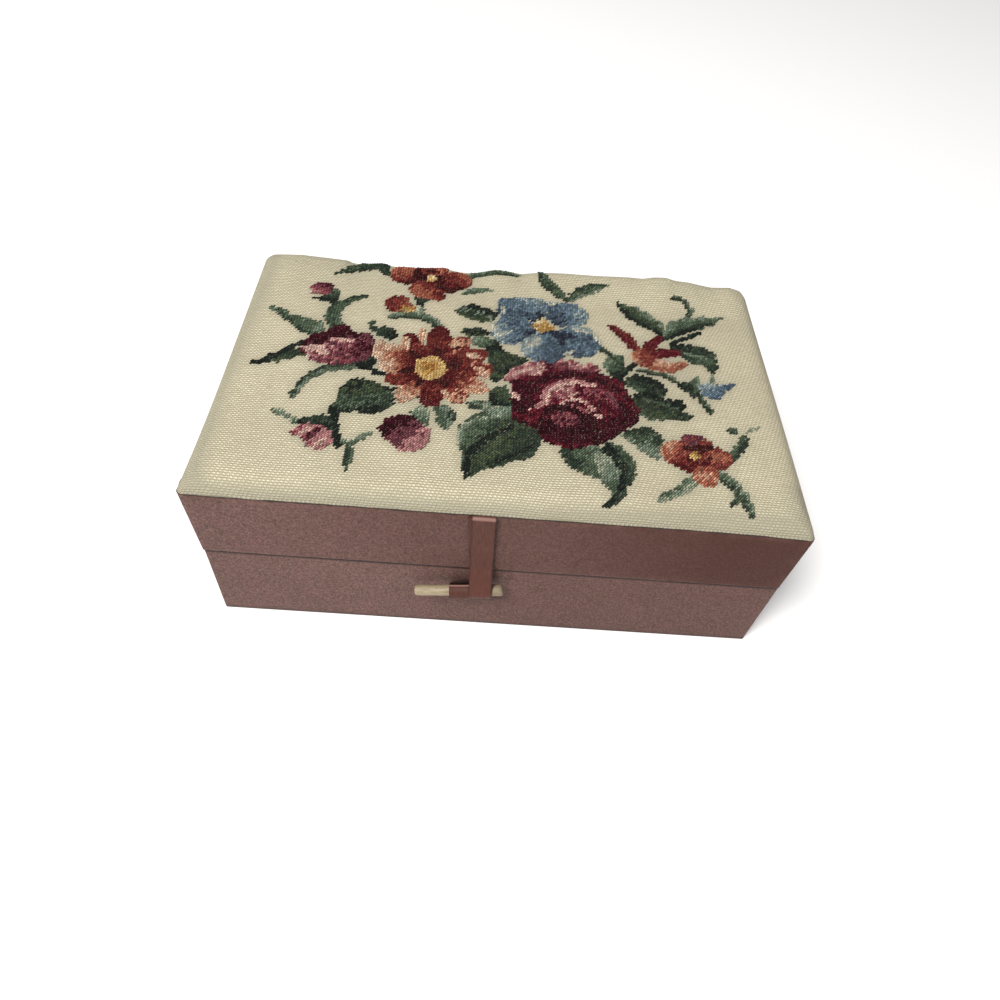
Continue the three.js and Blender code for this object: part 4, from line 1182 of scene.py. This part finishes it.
PEG_TILT = math.radians(6.7)
PEG_LENGTH = 31.8
PEG_Y = -66.25
PEG_TIP_X = -28.35
LOOP_X, LOOP_Z = -12.3, 29.7
STRAP_TOP_X, STRAP_END_X = -6.3, -5.05
STRAP_WIDTH, LOOP_WIDTH, RIBBON_THICKNESS = 8.2, 7.2, 0.5
STRAP_REACH, LOOP_REACH = 2.72, 2.42
FRONT_Y = -62.2


def peg_height(x):
    return LOOP_Z + (x - LOOP_X) * math.tan(PEG_TILT)


def tilted(a, z, from_x=LOOP_X, from_z=LOOP_Z):
    """The x and height of a place in the peg's tilted frame."""
    cos, sin = math.cos(PEG_TILT), math.sin(PEG_TILT)
    return from_x + a * cos - z * sin, from_z + a * sin + z * cos


def arc(y, z, radius, turns):
    """Points around a middle, by angles in degrees."""
    return [(y + radius * math.cos(turn), z + radius * math.sin(turn)) for turn in np.radians(turns)]


def curved(path, step=0.5):
    """A smooth line through a few points, at even steps."""
    path = np.array(path, float)
    padded = np.vstack([2 * path[0] - path[1], path, 2 * path[-1] - path[-2]])
    points = []
    for a, b, c, d in zip(padded, padded[1:], padded[2:], padded[3:]):
        for t in np.linspace(0, 1, 12, endpoint=False):
            bend = (2 * a - 5 * b + 4 * c - d) * t**2 + (3 * b - a - 3 * c + d) * t**3
            points.append(0.5 * (2 * b + (c - a) * t + bend))
    points = np.vstack([points, path[-1]])
    length = np.concatenate([[0], np.cumsum(np.linalg.norm(np.diff(points, axis=0), axis=1))])
    even = np.linspace(0, length[-1], max(2, int(length[-1] / step)))
    return np.column_stack([np.interp(even, length, axis) for axis in points.T])


def make_ribbon_piece(name, path, place, width, thickness, material, caps=1, worn=None):
    """A ribbon whose middle follows a path of (y, z). place(a, y, z) sets a point across it."""
    tangent = unit(np.gradient(path, axis=0))
    normal = np.column_stack([-tangent[:, 1], tangent[:, 0]])
    half = width / 2
    inner = np.linspace(-half + 0.5, half - 0.5, 8)
    top = np.concatenate([[-half, -half + 0.12], inner, [half - 0.12, half]])
    lift = np.array([0.35, 0.95] + [0.86] * 8 + [0.95, 0.35]) * (thickness / 2)
    across, rise = np.concatenate([top, top[::-1]]), np.concatenate([lift, -lift[::-1]])
    rise = rise + 0.06 * np.cos(across / half * math.pi / 2)
    runs = np.concatenate([[0], np.cumsum(np.linalg.norm(np.diff(path, axis=0), axis=1))])
    rows, weave = [], []
    for (y, z), (ny, nz), run in zip(path, normal, runs):
        rows.append([place(a, y + ny * r, z + nz * r, run / runs[-1]) for a, r in zip(across, rise)])
        weave += [(run, a / half, 0) for a in across]
    ribbon = loft(name, rows, material, caps)
    # Painted highlight and shade along the path
    worn = [0.0 if worn is None else worn(y, z) for y, z in path]
    set_points(ribbon, weave=weave, worn=np.repeat(worn, len(across)))
    return ribbon


def make_strap(material):
    """The doubled ribbon: down the lid's front, round the peg and up again behind."""
    top, peg_z = CROWN_FOOT - 0.35, peg_height(STRAP_END_X)

    def lean(a, y, z, share):
        down = (top - z) / (top - peg_z)
        # The layer behind shows a little on the left above, and on the right below
        behind = 1 if share < 0.45 else 0
        slip = behind * (-1.35 + 1.65 * np.clip(down, 0, 1)) * np.clip((z - peg_z - 4) / 6, 0, 1)
        a *= 0.93 + 0.07 * np.clip(down, 0, 1)
        x = STRAP_TOP_X + (STRAP_END_X - STRAP_TOP_X) * down + a + slip
        return (x, y, z + a * math.tan(PEG_TILT) * np.clip(down, 0, 1.2))

    # A painted highlight on the fold at the top
    def worn(y, z):
        return 0.42 if y < -63.45 and z > top - 0.7 else 0.0

    path = [(-63.3, top), (-63.3, 55), (-63.3, 42), (PEG_Y + STRAP_REACH + 0.2, peg_z + 6)]
    path += arc(PEG_Y, peg_z, STRAP_REACH, (12, -20, -50, -80, -110, -140, -170, -198))
    path += [(-67.75, peg_z + 2.9), (-66.4, peg_z + 5.1), (-65.1, peg_z + 7.8), (-64.2, peg_z + 11)]
    path += [(-63.9, 50), (-63.9, 58), (-64.05, 64.0), (-64.15, top - 1.5), (-64.22, top - 0.6)]
    path += [(-63.95, top - 0.05), (-63.4, top + 0.1), (-62.7, top + 0.1)]
    size = STRAP_WIDTH, RIBBON_THICKNESS
    return make_ribbon_piece("strap_ribbon", curved(path), lean, *size, material, worn=worn)


def make_peg_loop(material):
    """The case's loop: out of its slit behind the peg, round it, and back in below."""

    def tilt(a, y, z, share):
        # The upper end goes into its slit askew
        x, height = tilted(a, z + 0.17 * a * np.clip(1 - share / 0.22, 0, 1))
        return (x, y, height)

    def worn(y, z):
        """A painted highlight along the crease on top, and painted shade behind it and behind the peg where
        the ribbon leaves its slit; the rest a little darker.
        """
        turn = math.degrees(math.atan2(z, PEG_Y - y))
        if z > 0.2:
            return -1.0 if turn > 103 else 0.5 if turn > 84 else -0.16
        return -1.0 if y > -64.3 and z > -1.9 else -0.16

    path = [(-62.0, -1.5), (-63.0, -1.0)] + arc(PEG_Y, 0, LOOP_REACH, (15, 50, 85, 115, 145, 175))
    path += [(-68.75, -1.4), (-67.8, -2.75), (-66.2, -3.15), (-64.2, -3.0), (-62.0, -2.9)]
    path, size = curved(path, 0.35), (LOOP_WIDTH, RIBBON_THICKNESS)
    return make_ribbon_piece("loop_ribbon", path, tilt, *size, material, caps=0, worn=worn)


def make_slits(material):
    """The two slits in the case's front that the loop goes through, flat patches of painted shade on the
    silk. Each is open to one side.
    """
    points, half_width = [], 3.8
    for height, rise, half_height in ((-0.5, 0.2, 0.85), (-3.1, 0.0, 0.4)):
        for turn in np.linspace(0, 2 * math.pi, 33)[:-1]:
            a = half_width * math.copysign(abs(math.cos(turn)) ** 0.7, math.cos(turn))
            z = height + rise * a + half_height * math.sin(turn) * (1 + 0.1 * a)
            x, up = tilted(a, z)
            points.append((x, FRONT_Y, up))
    return new_object("loop_slits", points, (range(32), range(32, 64)), material, smooth=False)


def make_peg(material):
    """The bone peg: rounded at its thin end, and pared to a blunt point at the other."""
    outline = [(0.0, 0.0), (0.0, 0.9), (0.07, 1.35), (0.25, 1.64), (0.6, 1.79), (1.3, 1.87)]
    outline += [(t, 1.88 + 0.26 * t / PEG_LENGTH) for t in np.linspace(3, PEG_LENGTH - 3, 26)]
    butt = ((1.3, 2.13), (0.85, 2.08), (0.5, 1.95), (0.25, 1.8), (0.07, 1.55), (0, 1.1), (0, 0.0))
    outline += [(PEG_LENGTH - before, radius) for before, radius in butt]
    around = 40
    points = []
    for along, radius in outline:
        for turn in 2 * math.pi * np.arange(around) / around:
            y, z = radius * math.cos(turn), radius * math.sin(turn)
            # The butt slants, longer below than above
            slant = 0.14 * max(0.0, (along - PEG_LENGTH + 2.4) / 2.4)
            points.append((along - slant * (z + 0.4 + 3 * max(0.0, -z - 0.9)), y, z))
    points = np.array(points)
    grain = smooth_noise(points * (0.35, 1, 1), 1.6, 31)
    points[:, 1:] *= (1 + 0.018 * grain)[:, None]
    x, z = tilted(points[:, 0], points[:, 2], PEG_TIP_X, peg_height(PEG_TIP_X))
    points = np.column_stack([x, PEG_Y + points[:, 1], z])
    faces = grid_faces(len(outline), around, close_columns=True)
    return new_object("peg", *weld(points, faces), material)


# The hinge: the seam's height, the heights about the seam where the cloth would bend, and the heights
# between which it has narrow rows

SEAM_HEIGHT = 38.5
HINGE_BEND = 36.3, 40.7
HINGE_ROWS = 35.5, 41.5


def make_hinge(name, node, material):
    """A strip of cloth across the back, in narrow rows where it bends."""
    low, high = node_box(node)
    below, above = np.linspace(low[2], HINGE_ROWS[0], 8), np.linspace(HINGE_ROWS[1], high[2], 8)
    heights = np.concatenate([below[:-1], np.linspace(*HINGE_ROWS, 25), above[1:]])
    x, z = np.meshgrid(np.linspace(low[0], high[0], 60), heights)
    ragged = 0.12 * np.sin(x * 0.9) * (np.abs(z - heights[0]) < 1e-6)
    sides = low[1] + 0.04, high[1] - 0.04
    grids = [np.stack([x, np.full(x.shape, y), z + ragged], -1) for y in sides]
    cloth = slab(name, grids, material)
    set_points(cloth, wear=np.tile(np.exp(-np.abs(z - SEAM_HEIGHT) / 2.0).ravel(), 2))
    return cloth


# The inside


def dress(nodes, material):
    """Gives nodes of the frame a finish."""
    for name in nodes:
        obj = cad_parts[name]
        obj.data.materials.clear()
        obj.data.materials.append(material)


def make_covered_card(node, radius, material):
    """A card covered with silk: round edges and a face that is not quite flat."""
    low, high = node_box(node)
    card = rounded_box(f"covered_{node}", low, high, radius, 2.6, material)
    points = read_points(card)
    thin = int(np.argmin(high - low))
    inset = np.minimum(points - low, high - points)
    inner = np.min(inset[:, [axis for axis in range(3) if axis != thin]], axis=1)
    pull = 0.10 * (0.5 + 0.5 * smooth_noise(points, 13, 51)) * np.clip(inner / 3, 0, 1)
    points[:, thin] -= np.sign(points[:, thin] - (low[thin] + high[thin]) / 2) * pull
    write_points(card, points)
    inset = np.minimum(points - low, high - points)
    inset[:, thin] = 9
    set_points(card, wear=0.5 * np.exp(-inset.min(1) / 0.8))
    return card


def make_mirror_frame(material):
    """The padded silk frame around the mirror, with a lip over the glass's edge."""
    low, high = node_box("mirror_frame")
    bottom, top = low[2], high[2]
    section = [(-0.1, top), (0.0, top - 0.8)]
    for turn in np.linspace(0, 180, 15):
        angle = math.radians(turn)
        across = -7.0 + 7.0 * math.copysign(abs(math.cos(angle)) ** 0.7, math.cos(angle))
        section.append((across, top - 1.5 - (top - 1.5 - bottom) * math.sin(angle) ** 0.6))
    section += [(-14.0, bottom + 0.74), (-10.8, bottom + 0.76), (-10.8, top)]
    rows = []
    for out, z in section:
        sides = high[0] + out, low[1] - out, high[1] + out
        place, _ = ring(*sides, max(1.5, 5.0 + out), (70, 46, 5))
        pucker = 0.05 * ripple(place[:, 0], place[:, 1], 9, 61) * (z < bottom + 0.7)
        rows.append(np.column_stack([place, z + np.abs(pucker)]))
    return loft("padded_frame", rows, material, close_rows=True)


def make_floor_pad(material):
    """The quilted pad in the case: pillows between sewn lines, with a crowned edge."""
    low, high = node_box("case_floor_pad")
    columns, rows, tuft = 121, 73, 23.6
    x, y = np.meshgrid(np.arange(columns) / (columns - 1), np.arange(rows) / (rows - 1))
    x, y = low[0] + (high - low)[0] * x, low[1] + (high - low)[1] * y
    from_edge = np.min([x - low[0], high[0] - x, y - low[1], high[1] - y], axis=0)
    near = np.minimum(1.0, from_edge / 1.6)
    edge = np.sqrt(near * (2 - near))
    seams = np.abs(np.sin(math.pi * (x + y) / tuft)), np.abs(np.sin(math.pi * (x - y) / tuft))
    quilt = np.minimum(*seams) ** 0.55
    heights = low[2] + 0.9 + edge * (0.55 + 1.1 * quilt), low[2] + 0.9 * (1 - edge)
    pad = slab("floor_cushion", [np.stack([x, y, z], -1) for z in heights], material)
    set_points(pad, wear=np.zeros(2 * x.size))
    return pad


def make_ring_roll(number, material):
    """A stuffed velvet roll with gathered ends, flattened where it lies on the tray."""
    low, high = node_box(f"ring_roll_{number}")
    centre_x, centre_z = (low[0] + high[0]) / 2, (low[2] + high[2]) / 2
    radius = (high[2] - low[2]) / 2 - 0.03
    ends = (1 - np.cos(np.radians(np.linspace(8, 90, 7)))) * 2.6
    start, finish = low[1] + 0.1, high[1] - 0.1
    middle = np.linspace(start + 4, finish - 4, 40)
    lengths = np.concatenate([start + ends, middle, finish - ends[::-1]])
    gather = np.sin(np.radians(np.linspace(20, 90, 7)))
    fullness = np.concatenate([gather, np.ones(40), gather[::-1]])
    rows = []
    for y, full in zip(lengths, fullness):
        rows.append([])
        for turn in 2 * math.pi * np.arange(36) / 36:
            pleat = 1 + 0.08 * (1 - full) * math.cos(9 * turn)
            lump = 1 + 0.012 * noise.noise(Vector((y / 9 + number * 3, turn * 1.2, number)))
            reach = radius * full * pleat * min(lump, 1.0)
            z = max(reach * math.sin(turn), -radius * 0.94)
            rows[-1].append((centre_x + reach * math.cos(turn), y, centre_z + z))
    return loft(f"velvet_roll_{number}", rows, material, caps=1)


def make_pull(name, node, material):
    """A ribbon tab folded over at its top, sewn to the tray's end wall."""
    low, high = node_box(node)
    middle_x, middle_y = (low[0] + high[0]) / 2, (low[1] + high[1]) / 2
    top, gap = high[2], 0.16

    def place(a, x, z, share):
        return (x, middle_y + a, z)

    half = [(gap, low[2] + 0.1), (gap, top - 1.2), (gap * 0.9, top - 0.45)]
    path = [(middle_x - off, z) for off, z in half] + [(middle_x, top - 0.22)]
    path += [(middle_x + off, z) for off, z in half[::-1]]
    return make_ribbon_piece(name, curved(path, 0.3), place, high[1] - low[1] - 0.2, 0.26, material)


def make_wadding(material):
    """Cotton wadding on the lid's board, a little under the canvas and round like it."""
    low, high = node_box("lid_wadding")
    edge = 1.5
    bend = edge + 7.5 * (1 - np.cos(np.radians(np.arange(0, 91, 10))))
    rows = []
    for inset in (edge + 0.9, edge + 0.35, *bend, *np.linspace(12, DOME_INSET, 10), 52.0, 60.0):
        place, _ = crown_ring(inset, (60, 40, 5))
        x, y = place.T
        if len(rows) < 2:
            z = np.full(len(x), low[2] + 0.02 + 0.35 * len(rows))
        else:
            z = crown_surface(x, y, np.full(len(x), inset)) - 1.25
            z = np.clip(z - 0.12 * np.abs(ripple(x, y, 8, 41)), low[2] + 0.8, high[2])
        rows.append(np.column_stack([x, y, z]))
    return loft("wadding_layer", rows, material, caps=-1)


# Building the scene

# Dark marks on the silk's front, the last three painted shadow below the strap and the loop, below the peg,
# and right of the strap: the plane that they lie in and how far they reach from it, then for each its x, z,
# turn in degrees, half length, half width and depth
MARKS_Y, MARKS_REACH = -62, 60
MARKS_AND_SHADOWS = (
    (-22.6, 31.6, -52, 2.3, 0.10, 0.7),
    (-54.5, 53.5, 20, 0.5, 0.28, 0.7),
    (-51.5, 48.0, 35, 0.45, 0.3, 0.7),
    (-90.5, 18.5, -35, 0.75, 0.28, 0.7),
    (60.5, 50.5, 5, 0.4, 0.3, 0.7),
    (-4.5, 19.2, 6, 12.5, 1.7, 0.62),
    (-20.0, 21.1, 6.7, 8.5, 0.8, 0.55),
    (5.0, 32.5, 80, 5.0, 1.6, 0.35),
)
silk = make_silk("cover_silk", SILK, marks_and_shadows=MARKS_AND_SHADOWS)
ribbon = make_ribbon("clasp_ribbon", RIBBON)
lining = make_silk("lining_silk", LINING, speckle=0.45, sheen=0.3)
velvet = make_velvet("roll_velvet", VELVET)


def put(piece, body, node=None):
    """Rides a piece on a body. It may stand for a node, which is then hidden."""
    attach(piece, body)
    if node:
        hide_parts(node)
    return piece


cloth = make_embroidered_cloth(make_canvas("needlework_canvas"), bouquet)
put(cloth, "lid", "embroidered_canvas")
stitches = make_stitches(bouquet, make_wool("worsted_wool"))
for piece in stitches:
    put(piece, "lid")
wadding = make_wadding(make_board("cotton_wadding", (0.74, 0.71, 0.62), 500))
put(wadding, "lid", "lid_wadding")

put(make_case_silk(silk), "case", "case_silk")
put(make_lid_silk(silk), "lid", "lid_silk")
put(make_glue_line(make_board("old_glue", (0.032, 0.016, 0.011), 1200)), "lid")
put(make_strap(ribbon), "strap", "clasp_strap")
put(make_peg_loop(ribbon), "case", "peg_loop")
# Painted shade for the insides of the slits
gap = make_mottled("slit_shadow", 0.95, 900, (0.018, 0.006, 0.006), (0.05, 0.02, 0.018))
put(make_slits(gap), "case")
put(make_peg(make_bone("old_bone")), "peg", "bone_peg")

for side, material, slot in (("outer", silk, "cover_silk"), ("inner", lining, "lining_silk")):
    node = f"hinge_cloth_{side}"
    strip = make_hinge(f"hinge_strip_{side}", node, material)
    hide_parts(node)
    low, high = node_box(node)
    y = (low[1] + high[1]) / 2 * MM
    start, end = ((0, y, height * MM) for height in HINGE_BEND)
    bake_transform(strip)
    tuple(start)
    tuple(end)

SIDES = ("front", "back", "left", "right")
boards = [f"{body}_{side}_board" for body in ("case", "lid") for side in SIDES]
boards += ["base_board", "lid_deck_board", "pad_board"]
dress(boards, make_board("grey_card", (0.29, 0.25, 0.21), 900))
dress(["base_sheet"], make_board("base_paper", (0.20, 0.125, 0.105), 1400))
dress(["lid_mirror"], make_mirror("mirror_silver"))

covered = [("case", f"case_{side}_lining") for side in SIDES]
covered += [("lid", f"lid_{side}_lining") for side in (*SIDES, "ceiling")]
covered += [("tray", "tray_floor")] + [("tray", f"tray_{side}_wall") for side in SIDES]
covered += [("tray", f"tray_{way}_divider") for way in ("cross", "long", "short")]
for body, node in covered:
    low, high = node_box(node)
    card = make_covered_card(node, min(0.7, 0.42 * min(high - low)), lining)
    put(card, body, node)
put(make_mirror_frame(lining), "lid", "mirror_frame")
put(make_floor_pad(lining), "case", "case_floor_pad")
for number in range(1, 7):
    roll = make_ring_roll(number, velvet)
    put(roll, "tray", f"ring_roll_{number}")
for side in ("left", "right"):
    node = f"tray_pull_{side}"
    put(make_pull(f"pull_ribbon_{side}", node, ribbon), "tray", node)

# Floor, lights and camera

FLOOR_HALF, FLOOR_Z = 3000, -0.05
FLOOR_WAYS = ((-1, -1), (1, -1), (1, 1), (-1, 1))
FLOOR_CORNERS = [(FLOOR_HALF * x, FLOOR_HALF * y, FLOOR_Z) for x, y in FLOOR_WAYS]
pale = make_mottled("pale_floor", 0.9, 3, (0.90, 0.90, 0.90), (0.92, 0.92, 0.92))
new_object("floor", FLOOR_CORNERS, [(0, 1, 2, 3)], pale, smooth=False)


def add_area_light(name, place, target, size, power, colour):
    data = bpy.data.lights.new(name, "AREA")
    data.shape, data.size = "DISK", size
    data.energy, data.color = power, colour
    light = bpy.data.objects.new(name, data)
    bpy.context.collection.objects.link(light)
    light.location = place
    way = Vector(target) - Vector(place)
    light.rotation_euler = way.to_track_quat("-Z", "Y").to_euler()


KEY_COLOUR = (1.0, 0.985, 0.96)
add_area_light("key", (-0.85, -0.95, 1.9), (0, 0, 0.04), size=0.95, power=72.0, colour=KEY_COLOUR)

world = bpy.data.worlds.new("soft_room")
world.use_nodes = True
background = world.node_tree.nodes["Background"]
background.inputs["Color"].default_value = WHITE
background.inputs["Strength"].default_value = 0.36
bpy.context.scene.world = world

CAMERA_PLACE = (-14.959, -211.576, 260.977)
CAMERA_YAW, CAMERA_PITCH, CAMERA_ROLL = 4.931, 50.764, 7.938
CAMERA_LENS, SENSOR = 27.238, 36.0


def add_camera():
    data = bpy.data.cameras.new("camera")
    data.sensor_width, data.lens = SENSOR, CAMERA_LENS
    data.clip_start, data.clip_end = 0.01, 20
    camera = bpy.data.objects.new("camera", data)
    bpy.context.collection.objects.link(camera)
    yaw, pitch, roll = map(math.radians, (CAMERA_YAW, CAMERA_PITCH, CAMERA_ROLL))
    level = math.cos(pitch)
    forward = Vector((math.sin(yaw) * level, math.cos(yaw) * level, -math.sin(pitch)))
    right = Vector((math.cos(yaw), -math.sin(yaw), 0))
    up = right.cross(forward)
    across = math.cos(roll) * right + math.sin(roll) * up
    upward = -math.sin(roll) * right + math.cos(roll) * up
    turn = Matrix((across, upward, -forward)).transposed().to_4x4()
    camera.matrix_world = Matrix.Translation(Vector(CAMERA_PLACE) * MM) @ turn
    bpy.context.scene.camera = camera


add_camera()
bpy.context.scene.view_settings.view_transform = "Standard"
